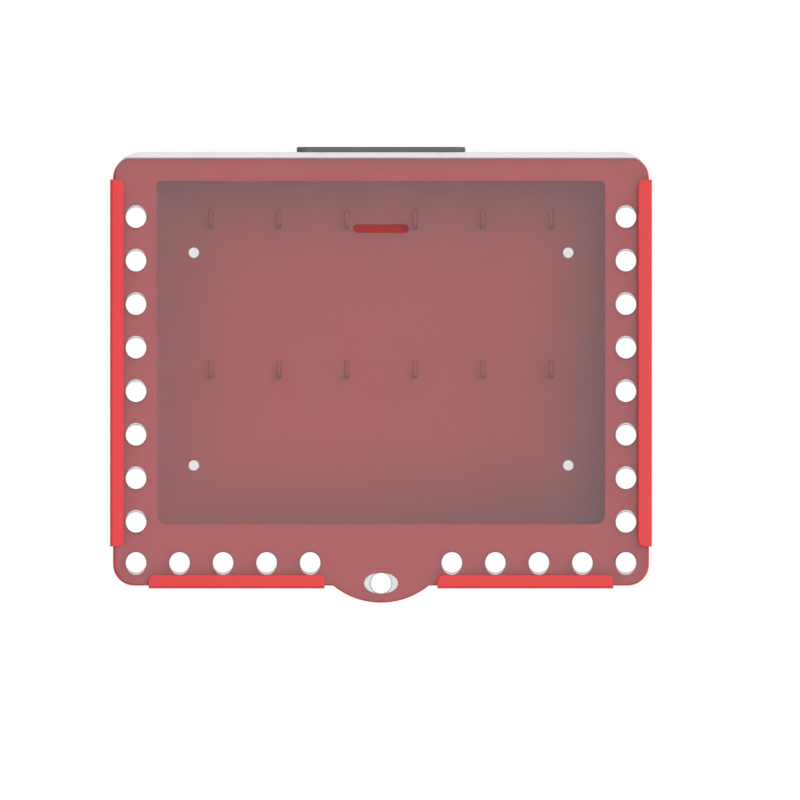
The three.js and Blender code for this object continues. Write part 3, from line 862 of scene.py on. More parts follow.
# %% Tray
TRAY_LAP = 0.8 * MM
TRAY_CORNER = 3 * MM
FLANGE = 8 * MM
BEND_STEPS = 6
WALL_HOLE = 6 * MM
WALL_HOLE_SIDE = 21.35 * MM
WALL_HOLE_TOP = 41.7 * MM
WALL_HOLE_BOTTOM = 34.4 * MM
back_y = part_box("back_box")[1].y

# The inside of the tray has painted shade: its colour darkens towards the inner corners of the recess, where shade
# falls.
SHADE_REACH = 60 * MM

tray_half = window_half + TRAY_LAP
tray_outline = rounded_box(-tray_half, tray_half, window_bottom - TRAY_LAP, window_top + TRAY_LAP,
                           TRAY_CORNER, TRAY_CORNER)


def painted_shade_in_corners(tree, place):
    """Painted shade in the recess: one in the tray's inner corners, zero from a set reach away on the floor or on a
    wall.
    """
    axes = node(tree, "ShaderNodeSeparateXYZ", {"Vector": place}).outputs
    centre_z = (window_bottom + window_top) / 2
    half_height = (window_top - window_bottom) / 2 + TRAY_LAP
    across = calculate(tree, "ABSOLUTE", axes["X"])
    upright = calculate(tree, "ABSOLUTE", calculate(tree, "SUBTRACT", axes["Z"], centre_z))
    from_walls = calculate(tree, "MINIMUM", calculate(tree, "SUBTRACT", tray_half, across),
                           calculate(tree, "SUBTRACT", half_height, upright))
    from_floor = calculate(tree, "SUBTRACT", back_y - SHEET, axes["Y"])
    away = calculate(tree, "MAXIMUM", from_walls, from_floor)
    return node(tree, "ShaderNodeMapRange", {
        "Value": away, "From Max": SHADE_REACH, "To Min": 1.0, "To Max": 0.0,
    }, interpolation_type="SMOOTHSTEP").outputs["Result"]


# The tray's inside takes the paint with that painted shade.
shaded_inside_paint = powder_coated_steel("powder_coated_steel_thin", painted_shade_in_corners)


def tray_section():
    """(inset, Y) from the inside of the back wall round the front rim to its outside."""
    turns = [math.pi / 2 * step / BEND_STEPS for step in range(BEND_STEPS + 1)]
    bend_y = back_y - bend_outside
    rim_y = plate_back + SHEET_EDGE
    inner = [(BEND_INSIDE * (1 - math.cos(t)), bend_y + BEND_INSIDE * math.sin(t)) for t in turns]
    rim_in = [(-SHEET_EDGE * (1 - math.cos(t)), rim_y - SHEET_EDGE * math.sin(t)) for t in turns[::2]]
    rim_out = [(-SHEET + SHEET_EDGE * (1 - math.cos(t)), rim_y - SHEET_EDGE * math.sin(t)) for t in turns[::2]]
    outer = [(-SHEET + bend_outside * (1 - math.cos(t)), bend_y + bend_outside * math.sin(t)) for t in turns]
    return [*inner[::-1], *rim_in, *rim_out[::-1], *outer]


def wall_holes():
    """Outlines of the four holes in the back wall."""
    centres = [Vector((x, z)) for x in (-window_half + WALL_HOLE_SIDE, window_half - WALL_HOLE_SIDE)
               for z in (window_bottom + WALL_HOLE_BOTTOM, window_top - WALL_HOLE_TOP)]
    return [arc(centre, WALL_HOLE / 2, 0, 1, HOLE_SIDES)[:-1] for centre in centres]


def flange(bottom, top):
    """A flat strip behind the plate, as wide as the tray is inside."""
    outline = rounded_box(-tray_half, tray_half, bottom, top, 1 * MM, 1 * MM)
    strip = cut_sheet(None, SHEET, outline, [], [], SHEET_EDGE, SHEET_EDGE)
    bmesh.ops.translate(strip, verts=strip.verts, vec=(0, plate_back, 0))
    return strip


def tray():
    mesh = bmesh.new()
    inner, outer = add_rim(mesh, tray_outline, tray_section())
    wall_edge = [(step, back_y - SHEET + depth) for step, depth in rounded_edge(SHEET, SHEET_EDGE, SHEET_EDGE)]
    rims = [add_rim(mesh, hole[::-1], wall_edge) for hole in wall_holes()]
    add_cap(mesh, [inner, *(rim[0] for rim in rims)])
    add_cap(mesh, [outer, *(rim[1] for rim in rims)], facing_front=False)
    reach = TRAY_LAP + SHEET + FLANGE
    middle_of_wall = TRAY_LAP + SHEET / 2
    for strip in (flange(window_top + middle_of_wall, window_top + reach),
                  flange(window_bottom - reach, window_bottom - middle_of_wall)):
        part = bpy.data.meshes.new("strip")
        strip.to_mesh(part)
        mesh.from_mesh(part)
        strip.free()
    return mesh


def is_inside(face):
    """Tells whether a face of the tray looks into the recess."""
    middle = face.calc_center_median()
    height = abs(middle.z - (window_bottom + window_top) / 2)
    within = abs(middle.x) < tray_half + TOUCHING and height < (window_top - window_bottom) / 2 + TRAY_LAP + TOUCHING
    return within and middle.y < back_y - SHEET + TOUCHING


tray_mesh = tray()
print("open edges of the tray:", close(tray_mesh))
for face in tray_mesh.faces:
    face.material_index = int(is_inside(face))
tray_piece = to_object("tray", tray_mesh, [paint, shaded_inside_paint])
report(tray_piece)

# %% [markdown]
# Twelve hooks are one hook, repeated: a line of six, twice. The hook is a round wire that leaves
# the wall, turns up through one bend and ends in a dome. The tree sweeps a circle along that path.
# Near its end the circle shrinks as the height of a dome asks for, and where it leaves the wall it
# widens into a small weld.

# %% Geometry Nodes: the key hooks
# The hooks' sides get painted shade: their colour darkens where they turn away from the open front.
HOOK_SHADE_COLOUR = "#881619"


def painted_shade_on_hook_sides(tree, place):
    """Painted shade on the hooks: low where a hook faces the open front, high on its sides, where the colour is
    darkened.
    """
    facing = node(tree, "ShaderNodeTexCoord").outputs["Normal"]
    back = node(tree, "ShaderNodeSeparateXYZ", {"Vector": facing}).outputs["Y"]
    return node(tree, "ShaderNodeMapRange", {
        "Value": back, "From Min": -1.0, "From Max": -0.35, "To Min": 0.3, "To Max": 0.95,
    }, interpolation_type="SMOOTHSTEP").outputs["Result"]


# The hooks take the paint with that painted shade on their sides.
shaded_hook_paint = powder_coated_steel("powder_coated_hook_steel", painted_shade_on_hook_sides, HOOK_SHADE_COLOUR)
hook_sizes = {
    "Wire Diameter": 3.0 * MM,
    "Reach": 15.0 * MM,
    "Rise": 8.4 * MM,
    "Bend Radius": 3.6 * MM,
    "Weld Width": 0.8 * MM,
    "Sunk": 0.3 * MM,
    "Hook Count": 6,
    "Hook Pitch": (2 * window_half - 2 * 31.35 * MM) / 5,
    "Row Count": 2,
    "Row Spacing": 88 * MM,
    "Top Row Z": window_top - 26.3 * MM,
    "Wall Y": back_y - SHEET,
    "Material": shaded_hook_paint,
}


def wire_scale(tree, given):
    """Scale of the wire's section along its path: a dome at its end and a weld at its start."""
    radius = calculate(tree, "MULTIPLY", given["Wire Diameter"], 0.5)
    here = node(tree, "GeometryNodeSplineParameter").outputs["Length"]
    whole = node(tree, "GeometryNodeSplineLength").outputs["Length"]
    left_over = calculate(tree, "DIVIDE", calculate(tree, "SUBTRACT", whole, here), radius)
    missing = calculate(tree, "SUBTRACT", 1.0, calculate(tree, "MINIMUM", left_over, 1.0))
    dome = calculate(tree, "SQRT", calculate(tree, "SUBTRACT", 1.0, calculate(tree, "MULTIPLY", missing, missing)))
    above = calculate(tree, "SUBTRACT", here, given["Sunk"])
    climb = calculate(tree, "DIVIDE", above, given["Weld Width"])
    unclimbed = calculate(tree, "SUBTRACT", 1.0, calculate(tree, "MAXIMUM", calculate(tree, "MINIMUM", climb, 1.0), 0.0))
    flare = calculate(tree, "MULTIPLY", calculate(tree, "MULTIPLY", unclimbed, unclimbed), 0.2)
    return calculate(tree, "ADD", dome, flare)


def hook_tree(sizes):
    tree, given = sized_tree("key hooks", sizes)
    radius = calculate(tree, "MULTIPLY", given["Wire Diameter"], 0.5)
    forward = calculate(tree, "MULTIPLY", given["Reach"], -1.0)
    corner = vector(tree, 0.0, forward, 0.0)
    path = node(tree, "GeometryNodeCurvePrimitiveQuadrilateral", {
        "Point 1": vector(tree, 0.0, given["Sunk"], 0.0),
        "Point 2": vector(tree, 0.0, calculate(tree, "MULTIPLY", forward, 0.5), 0.0),
        "Point 3": corner,
        "Point 4": vector(tree, 0.0, forward, calculate(tree, "ADD", given["Rise"], radius)),
    }, mode="POINTS").outputs["Curve"]
    opened = node(tree, "GeometryNodeSetSplineCyclic", {"Geometry": path, "Cyclic": False}).outputs[0]
    bent = node(tree, "GeometryNodeFilletCurve", {
        "Curve": opened, "Count": 12, "Radius": given["Bend Radius"],
    }, mode="POLY").outputs["Curve"]
    even = node(tree, "GeometryNodeResampleCurve", {"Curve": bent, "Count": 96}, mode="COUNT").outputs["Curve"]
    section = node(tree, "GeometryNodeCurvePrimitiveCircle", {"Resolution": 24, "Radius": radius}).outputs["Curve"]
    wire = node(tree, "GeometryNodeCurveToMesh", {
        "Curve": even, "Profile Curve": section, "Scale": wire_scale(tree, given), "Fill Caps": True,
    }).outputs["Mesh"]
    line = node(tree, "GeometryNodeMeshLine", {
        "Count": given["Hook Count"],
        "Start Location": vector(tree, calculate(tree, "MULTIPLY", given["Hook Pitch"], calculate(
            tree, "DIVIDE", calculate(tree, "SUBTRACT", 1.0, given["Hook Count"]), 2.0))),
        "Offset": vector(tree, given["Hook Pitch"]),
    }).outputs["Mesh"]
    row = node(tree, "GeometryNodeInstanceOnPoints", {"Points": line, "Instance": wire}).outputs["Instances"]
    rows = node(tree, "GeometryNodeMeshLine", {
        "Count": given["Row Count"],
        "Start Location": vector(tree, 0.0, given["Wall Y"], given["Top Row Z"]),
        "Offset": vector(tree, 0.0, 0.0, calculate(tree, "MULTIPLY", given["Row Spacing"], -1.0)),
    }).outputs["Mesh"]
    both = node(tree, "GeometryNodeInstanceOnPoints", {"Points": rows, "Instance": row}).outputs["Instances"]
    real = node(tree, "GeometryNodeRealizeInstances", {"Geometry": both}).outputs["Geometry"]
    coated = node(tree, "GeometryNodeSetMaterial", {
        "Geometry": real, "Material": given["Material"],
    }).outputs["Geometry"]
    node(tree, "NodeGroupOutput", {"Geometry": coated})
    return tree


def grown_piece(name, tree, sizes):
    """Runs a tree and turns its result into a closed, smooth piece."""
    mesh = bmesh.new()
    result = grown(tree, sizes)
    mesh.from_mesh(result)
    print(f"open edges of {name}:", close(mesh))
    return to_object(name, mesh, list(result.materials))


key_hooks = grown_piece("key_hooks", hook_tree(hook_sizes), hook_sizes)
report(key_hooks)

# %% [markdown]
# The tray's flanges are spot-welded to the back of the plate: two copper electrodes press the
# sheets together and melt a button between them. Each leaves a shallow crater with a raised ring,
# which the paint doesn't hide. The mark is a section turned about an axis, so the tree sweeps the
# section round a small circle and sets copies of it along both flanges.

# %% Geometry Nodes: the spot welds
weld_sizes = {
    "Crater Radius": 1.5 * MM,
    "Ring Width": 0.8 * MM,
    "Ring Height": 0.18 * MM,
    "Sunk": 0.3 * MM,
    "Weld Count": 7,
    "Weld Pitch": 40 * MM,
    "Weld Y": plate_back + SHEET,
    "Upper Z": window_top + TRAY_LAP + SHEET + FLANGE / 2,
    "Lower Z": window_bottom - TRAY_LAP - SHEET - FLANGE / 2,
    "Material": paint,
}


def weld_mark(tree, given):
    """A crater with a raised ring, with its axis along Y and its face towards +Y."""
    core = calculate(tree, "MULTIPLY", given["Crater Radius"], 0.5)
    outer = calculate(tree, "ADD", given["Crater Radius"], given["Ring Width"])
    crest = calculate(tree, "ADD", given["Crater Radius"], calculate(tree, "MULTIPLY", given["Ring Width"], 0.5))
    corners = []
    for radius, height in ((0.0, 0.02 * MM), (given["Crater Radius"], 0.02 * MM), (crest, given["Ring Height"]),
                           (outer, 0.0), (outer, calculate(tree, "MULTIPLY", given["Sunk"], -1.0)),
                           (0.0, calculate(tree, "MULTIPLY", given["Sunk"], -1.0))):
        across = calculate(tree, "SUBTRACT", radius, core)
        corners.append(vector(tree, across, calculate(tree, "MULTIPLY", height, -1.0)))
    lines = []
    for start, end in zip(corners, corners[1:]):
        lines.append(node(tree, "GeometryNodeCurvePrimitiveLine", {"Start": start, "End": end}).outputs["Curve"])
    ring = node(tree, "GeometryNodeCurvePrimitiveCircle", {"Resolution": 24, "Radius": core}).outputs["Curve"]
    section = node(tree, "GeometryNodeJoinGeometry", {"Geometry": lines}).outputs["Geometry"]
    turned = node(tree, "GeometryNodeCurveToMesh", {"Curve": ring, "Profile Curve": section}).outputs["Mesh"]
    away = (math.radians(-90), 0, 0)
    return node(tree, "GeometryNodeTransform", {"Geometry": turned, "Rotation": away}).outputs["Geometry"]


def weld_tree(sizes):
    tree, given = sized_tree("spot welds", sizes)
    first = calculate(tree, "MULTIPLY", given["Weld Pitch"], calculate(
        tree, "DIVIDE", calculate(tree, "SUBTRACT", 1.0, given["Weld Count"]), 2.0))
    lines = [node(tree, "GeometryNodeMeshLine", {
        "Count": given["Weld Count"],
        "Start Location": vector(tree, first, given["Weld Y"], given[height]),
        "Offset": vector(tree, given["Weld Pitch"]),
    }).outputs["Mesh"] for height in ("Upper Z", "Lower Z")]
    points = node(tree, "GeometryNodeJoinGeometry", {"Geometry": lines}).outputs["Geometry"]
    marks = node(tree, "GeometryNodeInstanceOnPoints", {
        "Points": points, "Instance": weld_mark(tree, given),
    }).outputs["Instances"]
    real = node(tree, "GeometryNodeRealizeInstances", {"Geometry": marks}).outputs["Geometry"]
    coated = node(tree, "GeometryNodeSetMaterial", {
        "Geometry": real, "Material": given["Material"],
    }).outputs["Geometry"]
    node(tree, "NodeGroupOutput", {"Geometry": coated})
    return tree


spot_welds = grown_piece("spot_welds", weld_tree(weld_sizes), weld_sizes)
report(spot_welds)

# %% [markdown]
# The cover is cut from flat sheet like the case, with the same tree for its lock holes, and then
# hot-bent along one line, so that its top edge becomes a lip that rests on the plate. Its corners
# run through the bend, so the outline narrows while it bends. The rims of the holes and the outer
# edge are sawn or drilled, and take the duller of the two polycarbonate finishes.

# %% Clear cover, cut and bent
PANEL_SIDE = 1.1 * MM
PANEL_BOTTOM = 0.6 * MM
PANEL_TOP_RADIUS = 15 * MM
PANEL_BOTTOM_RADIUS = 12 * MM
PANEL_BEND = 1.0 * MM
PANEL_EDGE = 0.3 * MM
LID_LIP_DEPTH = 25 * MM
LID_LIP_CORNER = 5 * MM
KEY_SLOT_WIDTH = 32.4 * MM
KEY_SLOT_HEIGHT = 4.7 * MM
KEY_SLOT_DROP = 42.2 * MM
SCREW_SPACING = 70 * MM
SCREW_INSET = 11 * MM
SCREW_HOLE = 4.5 * MM

panel_front = panel_low.y
panel_top = panel_high.z
panel_half = half_width - PANEL_SIDE
panel_bottom = plate_bottom + PANEL_BOTTOM
panel_outside = PANEL_BEND + PANEL_SHEET
panel_neutral = PANEL_BEND + PANEL_SHEET / 2
panel_run = math.pi / 2 * panel_neutral
bend_z = panel_top - panel_outside
lid_half = panel_half - PANEL_TOP_RADIUS
lid_end = bend_z + panel_run + LID_LIP_DEPTH - panel_outside


def cover_side(side):
    """The side above the lower corner: round corner, stations of the bend and the lip's corner."""
    centre_z = panel_top - PANEL_TOP_RADIUS
    below = math.asin((bend_z - centre_z) / PANEL_TOP_RADIUS) / math.tau
    corner = arc(Vector((lid_half, centre_z)), PANEL_TOP_RADIUS, 0, below)
    stations = []
    for step in range(1, FOLD_STEPS + 1):
        turn = math.pi / 2 * step / FOLD_STEPS
        rise = bend_z + panel_outside * math.sin(turn) - centre_z
        reach = math.sqrt(max(PANEL_TOP_RADIUS ** 2 - rise ** 2, 0))
        stations.append(Vector((lid_half + reach, bend_z + panel_neutral * turn)))
    end = arc(Vector((lid_half - LID_LIP_CORNER, lid_end - LID_LIP_CORNER)), LID_LIP_CORNER, 0, 1 / 4)
    points = [*corner, *stations, *end]
    return points if side > 0 else [Vector((-point.x, point.y)) for point in points[::-1]]


def round_hole(across, height, radius, sides=HOLE_SIDES):
    return arc(Vector((across, height)), radius, 0, 1, sides)[:-1]


lower_left = arc(Vector((-panel_half + PANEL_BOTTOM_RADIUS, panel_bottom + PANEL_BOTTOM_RADIUS)),
                 PANEL_BOTTOM_RADIUS, 1 / 2, 3 / 4)
lower_right = arc(Vector((panel_half - PANEL_BOTTOM_RADIUS, panel_bottom + PANEL_BOTTOM_RADIUS)),
                  PANEL_BOTTOM_RADIUS, 3 / 4, 1)
lower = [*lower_left, *tongue(TONGUE_RADIUS - PANEL_BOTTOM, panel_bottom), *lower_right]
cover_outline = [*lower, *cover_side(1), *cover_side(-1)]
first_crease = len(lower) + CORNER_STEPS
last_crease = len(cover_outline) - 1 - CORNER_STEPS
cover_creases = [(first_crease + step, last_crease - step) for step in range(FOLD_STEPS + 1)]

cover_hole_sizes = {
    **case_hole_sizes,
    "Hole Width": LOCK_HOLE,
    "Hole Height": LOCK_HOLE,
    "Shift": 0.0,
    "Main Width": LOCK_HOLE,
    "Main Height": LOCK_HOLE,
    "Thickness": PANEL_SHEET,
    "Edge Radius": PANEL_EDGE,
    "Material": clear_edge,
}
slot_z = plate_top - KEY_SLOT_DROP
key_slot = rounded_box(-KEY_SLOT_WIDTH / 2, KEY_SLOT_WIDTH / 2, slot_z - KEY_SLOT_HEIGHT / 2,
                       slot_z + KEY_SLOT_HEIGHT / 2, KEY_SLOT_HEIGHT / 2, KEY_SLOT_HEIGHT / 2)
screw_run = bend_z + panel_run + SCREW_INSET - panel_outside
screw_holes = [round_hole(side * SCREW_SPACING / 2, screw_run, SCREW_HOLE / 2) for side in (-1, 1)]


def bend_cover(mesh):
    for corner in mesh.verts:
        _, depth, height = corner.co
        radius = panel_outside - depth
        run = max(height - bend_z, 0)
        turn = min(run / panel_run, 1) * math.pi / 2
        past = max(run - panel_run, 0)
        corner.co.y = panel_front + panel_outside - radius * math.cos(turn) + past
        if run > 0:
            corner.co.z = bend_z + radius * math.sin(turn)


flat_cover = cut_sheet(grown(hole_tree, cover_hole_sizes), PANEL_SHEET, cover_outline, cover_creases,
                       [key_slot, *screw_holes], PANEL_EDGE, PANEL_EDGE, rim_material=1)
bend_cover(flat_cover)
print("open edges of the cover:", close(flat_cover))
cover_sheet = to_object("cover_sheet", flat_cover, [clear_face, clear_edge])
report(cover_sheet)

# %% [markdown]
# The grip is a thin moulded plate on the cover's lip. It is built lying down, with the same
# functions, and its depth then becomes its height. Each screw hole has its own section: a
# cylinder for the head's rim, a cone for the countersink and a cylinder for the shank.

# %% Grip
GRIP_THICKNESS = 3 * MM
GRIP_CORNER = 6 * MM
GRIP_TOP_EDGE = 1 * MM
HEAD_RADIUS = 3.8 * MM
HEAD_RIM = 0.2 * MM
HEAD_SINK = 0.1 * MM
SINK_CLEARANCE = 0.25 * MM
screw_y = panel_front + SCREW_INSET
grip_low, grip_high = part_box("grip_plate")


def countersink():
    """(inset, depth) of a countersunk hole, from the grip's top face to its under face."""
    wide = HEAD_RADIUS + SINK_CLEARANCE - SCREW_HOLE / 2
    rim = HEAD_SINK + HEAD_RIM
    return [(wide + 0.1 * MM, 0), (wide, 0.1 * MM), (wide, rim), (0, rim + wide), (0, GRIP_THICKNESS)]


def grip_plate():
    mesh = bmesh.new()
    outline = rounded_box(grip_low.x, grip_high.x, grip_low.y, grip_high.y, GRIP_CORNER, GRIP_CORNER)
    turns = [math.pi / 2 * step / BEND_STEPS for step in range(BEND_STEPS + 1)]
    top = [(GRIP_TOP_EDGE * (1 - math.sin(t)), GRIP_TOP_EDGE * (1 - math.cos(t))) for t in turns]
    under = rounded_edge(GRIP_THICKNESS, GRIP_TOP_EDGE, PANEL_EDGE)[EDGE_STEPS + 1:]
    rims = [add_rim(mesh, outline, [*top, *under])]
    for side in (-1, 1):
        hole = round_hole(side * SCREW_SPACING / 2, screw_y, SCREW_HOLE / 2)
        rims.append(add_rim(mesh, hole[::-1], countersink()))
    add_cap(mesh, [rim[0] for rim in rims])
    add_cap(mesh, [rim[1] for rim in rims], facing_front=False)
    for corner in mesh.verts:
        across, depth, along = corner.co
        corner.co = (across, along, grip_high.z - depth)
    return mesh


grip_mesh = grip_plate()
print("open edges of the grip:", close(grip_mesh))
grip = to_object("grip", grip_mesh, [nylon])
report(grip)

# %% [markdown]
# Two countersunk M4 screws hold the grip, with a washer and a nut each under the lip. The turned
# and pressed shapes are built once, in Python, because they don't repeat: a head with a cross
# recess that narrows downwards, a shank, a washer, and a nut whose corners are cut by a cone, as
# they are on a real nut. Depth counts downwards from the top of the head.

# %% Screw, washer and nut
CORE_RADIUS = 1.7 * MM
POINT_CHAMFER = 0.35 * MM
SMALL_EDGE = 0.08 * MM
RECESS_ARM = 2.0 * MM
RECESS_HALF = 0.45 * MM
RECESS_DEPTH = 1.3 * MM
RECESS_TAPER = 0.2 * MM
WASHER_RADIUS = 4.5 * MM
WASHER_HOLE = 2.25 * MM
WASHER_THICKNESS = 0.8 * MM
NUT_FLAT = 3.5 * MM
NUT_HEIGHT = 3.2 * MM
NUT_BORE = 2.15 * MM
NUT_SIDES = 6
POINTS_PER_FLAT = 8
ROUND_SIDES = 48

screw_low, screw_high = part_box("grip_screw_left")
screw_length = screw_high.z - screw_low.z
washer_depth = screw_high.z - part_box("grip_washer_left")[1].z


def cross_outline():
    """Outline of the cross recess, anticlockwise."""
    inner = RECESS_HALF + 0.25 * MM
    arm = [Vector(point) for point in (
        (RECESS_ARM, -RECESS_HALF), (RECESS_ARM, RECESS_HALF), (inner, RECESS_HALF), (RECESS_HALF, inner),
    )]
    quarter_turns = [Matrix.Rotation(math.pi / 2 * turn, 2) for turn in range(4)]
    return [turn @ point for turn in quarter_turns for point in arm]


def add_screw(mesh):
    cone = HEAD_RADIUS - CORE_RADIUS
    tip = screw_length
    head = round_hole(0, 0, HEAD_RADIUS, ROUND_SIDES)
    top, bottom = add_rim(mesh, head, [
        (SMALL_EDGE, 0), (0, SMALL_EDGE), (0, HEAD_RIM), (cone, HEAD_RIM + cone),
        (cone, tip - POINT_CHAMFER), (cone + POINT_CHAMFER, tip),
    ])
    mouth, floor = add_rim(mesh, cross_outline()[::-1], [
        (SMALL_EDGE, 0), (0, SMALL_EDGE), (-RECESS_TAPER, RECESS_DEPTH),
    ])
    add_cap(mesh, [top, mouth])
    add_cap(mesh, [floor])
    add_cap(mesh, [bottom], facing_front=False)


def add_washer(mesh):
    edge = [(step, washer_depth + depth) for step, depth in
            rounded_edge(WASHER_THICKNESS, SMALL_EDGE, SMALL_EDGE)]
    ring = add_rim(mesh, round_hole(0, 0, WASHER_RADIUS, ROUND_SIDES), edge)
    hole = add_rim(mesh, round_hole(0, 0, WASHER_HOLE, ROUND_SIDES)[::-1], edge)
    add_cap(mesh, [ring[0], hole[0]])
    add_cap(mesh, [ring[1], hole[1]], facing_front=False)


def add_nut(mesh):
    """A hexagon nut. The cone falls by half a millimetre for each one that a corner stands out."""
    first = washer_depth + WASHER_THICKNESS
    count = NUT_SIDES * POINTS_PER_FLAT
    turns = [math.tau * index / count for index in range(count)]
    sixth = math.tau / NUT_SIDES
    reaches = [NUT_FLAT / math.cos((turn + sixth / 2) % sixth - sixth / 2) for turn in turns]
    falls = [(reach - 0.97 * NUT_FLAT) * math.tan(math.radians(30)) for reach in reaches]
    round_faces = [0.97 * NUT_FLAT] * count
    nothing = [0.0] * count
    last = [NUT_HEIGHT] * count
    rings = []
    for radii, depths in ((round_faces, nothing), (reaches, falls),
                          (reaches, [NUT_HEIGHT - fall for fall in falls]), (round_faces, last)):
        rings.append([mesh.verts.new((radius * math.cos(turn), first + depth, radius * math.sin(turn)))
                      for radius, depth, turn in zip(radii, depths, turns)])
    top, bottom = bridge(mesh, rings)
    chamfer = NUT_BORE * 0.1
    bore = add_rim(mesh, round_hole(0, 0, NUT_BORE, ROUND_SIDES)[::-1], [
        (chamfer, first), (0, first + chamfer), (0, first + NUT_HEIGHT - chamfer), (chamfer, first + NUT_HEIGHT),
    ])
    add_cap(mesh, [top, bore[0]])
    add_cap(mesh, [bottom, bore[1]], facing_front=False)


def fastener():
    """One screw with its washer and nut, upright, as an object that a tree can copy."""
    mesh = bmesh.new()
    add_screw(mesh)
    add_washer(mesh)
    add_nut(mesh)
    for corner in mesh.verts:
        across, depth, along = corner.co
        corner.co = (across, along, -depth)
    print("open edges of a fastener:", close(mesh))
    return to_object("fastener", mesh, [zinc])


one_fastener = fastener()
report(one_fastener)

# %% [markdown]
# The thread follows a path, a helix, so Geometry Nodes sweep it: a ridge with the flanks of a metric
# thread runs up round the core, one pitch a turn. The same tree then sets one fastener on each end
# of a line. The second is turned a little further than the first, because no two screws ever stop
# at the same angle.

# %% Geometry Nodes: threads and fasteners
fastener_sizes = {
    "Fastener": one_fastener,
    "Spacing": SCREW_SPACING,
    "Line Y": screw_y,
    "Head Z": screw_high.z,
    "Core Radius": CORE_RADIUS,
    "Ridge Height": 0.3 * MM,
    "Thread Pitch": 0.7 * MM,
    "Thread Foot": -(screw_length - POINT_CHAMFER),
    "Thread Length": 9.0 * MM,
    "Turn Between": 0.6,
    "Material": zinc,
}


def thread(tree, given):
    """A right-handed ridge round the upright axis."""
    pitch = given["Thread Pitch"]
    helix = node(tree, "GeometryNodeCurveSpiral", {
        "Resolution": 24,
        "Rotations": calculate(tree, "DIVIDE", given["Thread Length"], pitch),
        "Start Radius": given["Core Radius"],
        "End Radius": given["Core Radius"],
        "Height": given["Thread Length"],
        "Reverse": True,
    }).outputs["Curve"]
    foot = calculate(tree, "MULTIPLY", pitch, 0.45)
    crest = calculate(tree, "MULTIPLY", pitch, 0.0625)
    under = calculate(tree, "MULTIPLY", given["Ridge Height"], -0.2)
    ridge = node(tree, "GeometryNodeCurvePrimitiveQuadrilateral", {
        "Point 1": vector(tree, under, calculate(tree, "MULTIPLY", foot, -1.0)),
        "Point 2": vector(tree, given["Ridge Height"], calculate(tree, "MULTIPLY", crest, -1.0)),
        "Point 3": vector(tree, given["Ridge Height"], crest),
        "Point 4": vector(tree, under, foot),
    }, mode="POINTS").outputs["Curve"]
    swept = node(tree, "GeometryNodeCurveToMesh", {
        "Curve": helix, "Profile Curve": ridge, "Fill Caps": True,
    }).outputs["Mesh"]
    return node(tree, "GeometryNodeTransform", {
        "Geometry": swept, "Translation": vector(tree, z=given["Thread Foot"]),
    }).outputs["Geometry"]


def fastener_tree(sizes):
    tree, given = sized_tree("grip fasteners", sizes)
    plain = node(tree, "GeometryNodeObjectInfo", {"Object": given["Fastener"]}).outputs["Geometry"]
    whole = node(tree, "GeometryNodeJoinGeometry", {"Geometry": [plain, thread(tree, given)]}).outputs["Geometry"]
    half = calculate(tree, "MULTIPLY", given["Spacing"], -0.5)
    line = node(tree, "GeometryNodeMeshLine", {
        "Count": 2,
        "Start Location": vector(tree, half, given["Line Y"], given["Head Z"]),
        "Offset": vector(tree, given["Spacing"]),
    }).outputs["Mesh"]
    order = node(tree, "GeometryNodeInputIndex").outputs["Index"]
    turned = vector(tree, z=calculate(tree, "MULTIPLY", order, given["Turn Between"]))
    rotation = node(tree, "FunctionNodeEulerToRotation", {"Euler": turned}).outputs["Rotation"]
    pair = node(tree, "GeometryNodeInstanceOnPoints", {
        "Points": line, "Instance": whole, "Rotation": rotation,
    }).outputs["Instances"]
    real = node(tree, "GeometryNodeRealizeInstances", {"Geometry": pair}).outputs["Geometry"]
    plated = node(tree, "GeometryNodeSetMaterial", {
        "Geometry": real, "Material": given["Material"],
    }).outputs["Geometry"]
    node(tree, "NodeGroupOutput", {"Geometry": plated})
    return tree


grip_fasteners = grown_piece("grip_fasteners", fastener_tree(fastener_sizes), fastener_sizes)
bpy.data.objects.remove(one_fastener)
report(grip_fasteners)

# %% Pieces on the frame
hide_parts("front_frame")
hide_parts("back_box")
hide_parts(*(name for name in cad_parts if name.startswith("hook_")))
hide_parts("cover_panel")
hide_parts("grip_plate")
fastener_starts = ("grip_screw", "grip_washer", "grip_nut")
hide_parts(*(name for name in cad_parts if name.startswith(fastener_starts)))
for piece, body, slot in (
    (folded_front, "case", "red_powder_coat"),
    (tray_piece, "case", "red_powder_coat"),
    (key_hooks, "case", "red_powder_coat"),
    (spot_welds, "case", "red_powder_coat"),
    (cover_sheet, "cover", "clear_sheet"),
    (grip, "cover", "black_nylon"),
    (grip_fasteners, "cover", "zinc_plate"),
):
    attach(piece, body)

# %% [markdown]
# Studio light. The photograph has a white surround and no lamp that can be seen, only a main
# direction: the hooks' shadows fall to the lower left, soft as from a lamp as wide as a window. A sun
# lamp with a large angle gives exactly that, at the same strength everywhere. So the key lamp is one,
# to the upper right, a second one lights the front, and three weak ones stand in for the white walls
# of a studio at the left, below and behind. These three light without a glint, as walls do. The white
# surround is the world. Light Path tells how a ray got there: it is pure white where it is seen, also
# in a reflection or through the clear cover, and dimmer as a light, so that a colour comes out as it
# is written. The floor lies well below the box, which the photograph shows hung in front of white.

# %% Light, surround and floor
SKY_LEVEL = 0.22
FLOOR_SIZE = 8
FLOOR_DROP = 0.3
FLOOR_LIFT = 0.3
LAMPS = (
    ("key", 65, 40, 0.575, 36, True),
    ("front", 15, 10, 0.295, 30, True),
    ("left fill", -65, 0, 0.16, 60, False),
    ("low fill", 0, -50, 0.145, 60, False),
    ("back", 160, 30, 0.4, 60, False),
)


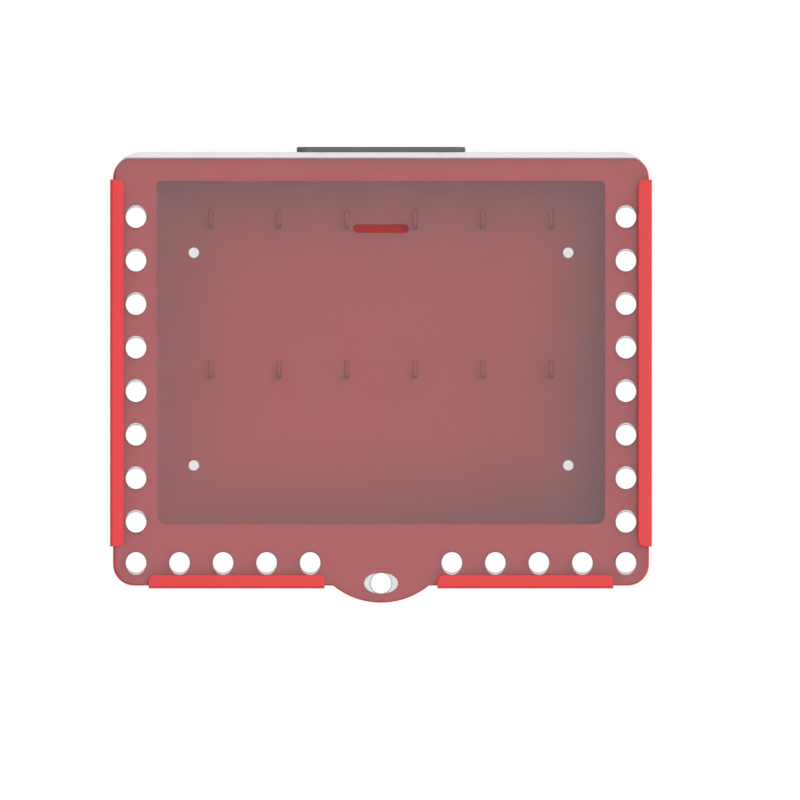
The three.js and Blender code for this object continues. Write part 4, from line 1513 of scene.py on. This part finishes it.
def seen_straight(tree):
    """1 for what the camera sees, by itself, in a reflection or through a clear piece."""
    path = node(tree, "ShaderNodeLightPath").outputs
    mirrored = calculate(tree, "MAXIMUM", path["Is Glossy Ray"], path["Is Transmission Ray"])
    return calculate(tree, "MAXIMUM", path["Is Camera Ray"], mirrored)


def surround():
    """White where it is seen, straight or mirrored, and dimmer as a light."""
    world = bpy.data.worlds.new("white surround")
    world.use_nodes = True
    tree = world.node_tree
    tree.nodes.clear()
    level = node(tree, "ShaderNodeMix", {
        "Factor": seen_straight(tree), "A": SKY_LEVEL, "B": 1.0,
    }).outputs["Result"]
    light = node(tree, "ShaderNodeBackground", {"Color": (1.0, 1.0, 1.0, 1.0), "Strength": level})
    node(tree, "ShaderNodeOutputWorld", {"Surface": light.outputs["Background"]})
    return world


def sun(name, right, up, level, width, glints):
    """A sun lamp that lights white paper held square to it to the given level."""
    data = bpy.data.lights.new(name, "SUN")
    data.energy = math.pi * level
    data.angle = math.radians(width)
    lamp = bpy.data.objects.new(name, data)
    right, up = math.radians(right), math.radians(up)
    direction = Vector((math.sin(right) * math.cos(up), -math.cos(right) * math.cos(up), math.sin(up)))
    lamp.rotation_euler = direction.to_track_quat("Z", "Y").to_euler()
    lamp.visible_camera = False
    lamp.visible_glossy = glints
    bpy.context.scene.collection.objects.link(lamp)
    return lamp


def studio_floor():
    """A wide pale floor. What the camera sees of it is lifted to white, shadows stay."""
    material = bpy.data.materials.new("studio_floor")
    material.use_nodes = True
    tree = material.node_tree
    tree.nodes.clear()
    place = node(tree, "ShaderNodeTexCoord").outputs["Object"]
    clouds = node(tree, "ShaderNodeTexNoise", {"Vector": place, "Scale": 4.0})
    roughness = node(tree, "ShaderNodeMapRange", {"Value": clouds.outputs["Fac"], "To Min": 0.6, "To Max": 0.7})
    pale = node(tree, "ShaderNodeBsdfPrincipled", {
        "Base Color": linear("#F2F2F2"), "Roughness": roughness.outputs["Result"],
    })
    seen = seen_straight(tree)
    lift = node(tree, "ShaderNodeEmission", {"Strength": calculate(tree, "MULTIPLY", seen, FLOOR_LIFT)})
    both = node(tree, "ShaderNodeAddShader", {0: pale.outputs["BSDF"], 1: lift.outputs["Emission"]})
    node(tree, "ShaderNodeOutputMaterial", {"Surface": both.outputs["Shader"]})
    half = FLOOR_SIZE / 2
    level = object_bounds()[0].z - FLOOR_DROP
    data = bpy.data.meshes.new("floor")
    data.from_pydata([(-half, -half, level), (half, -half, level), (half, half, level), (-half, half, level)],
                     [], [(0, 1, 2, 3)])
    data.materials.append(material)
    plane = bpy.data.objects.new("floor", data)
    bpy.context.scene.collection.objects.link(plane)
    plane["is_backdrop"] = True
    return plane


bpy.context.scene.world = surround()
for lamp in LAMPS:
    sun(*lamp)
studio_floor()
bpy.context.scene.view_settings.view_transform = "Standard"
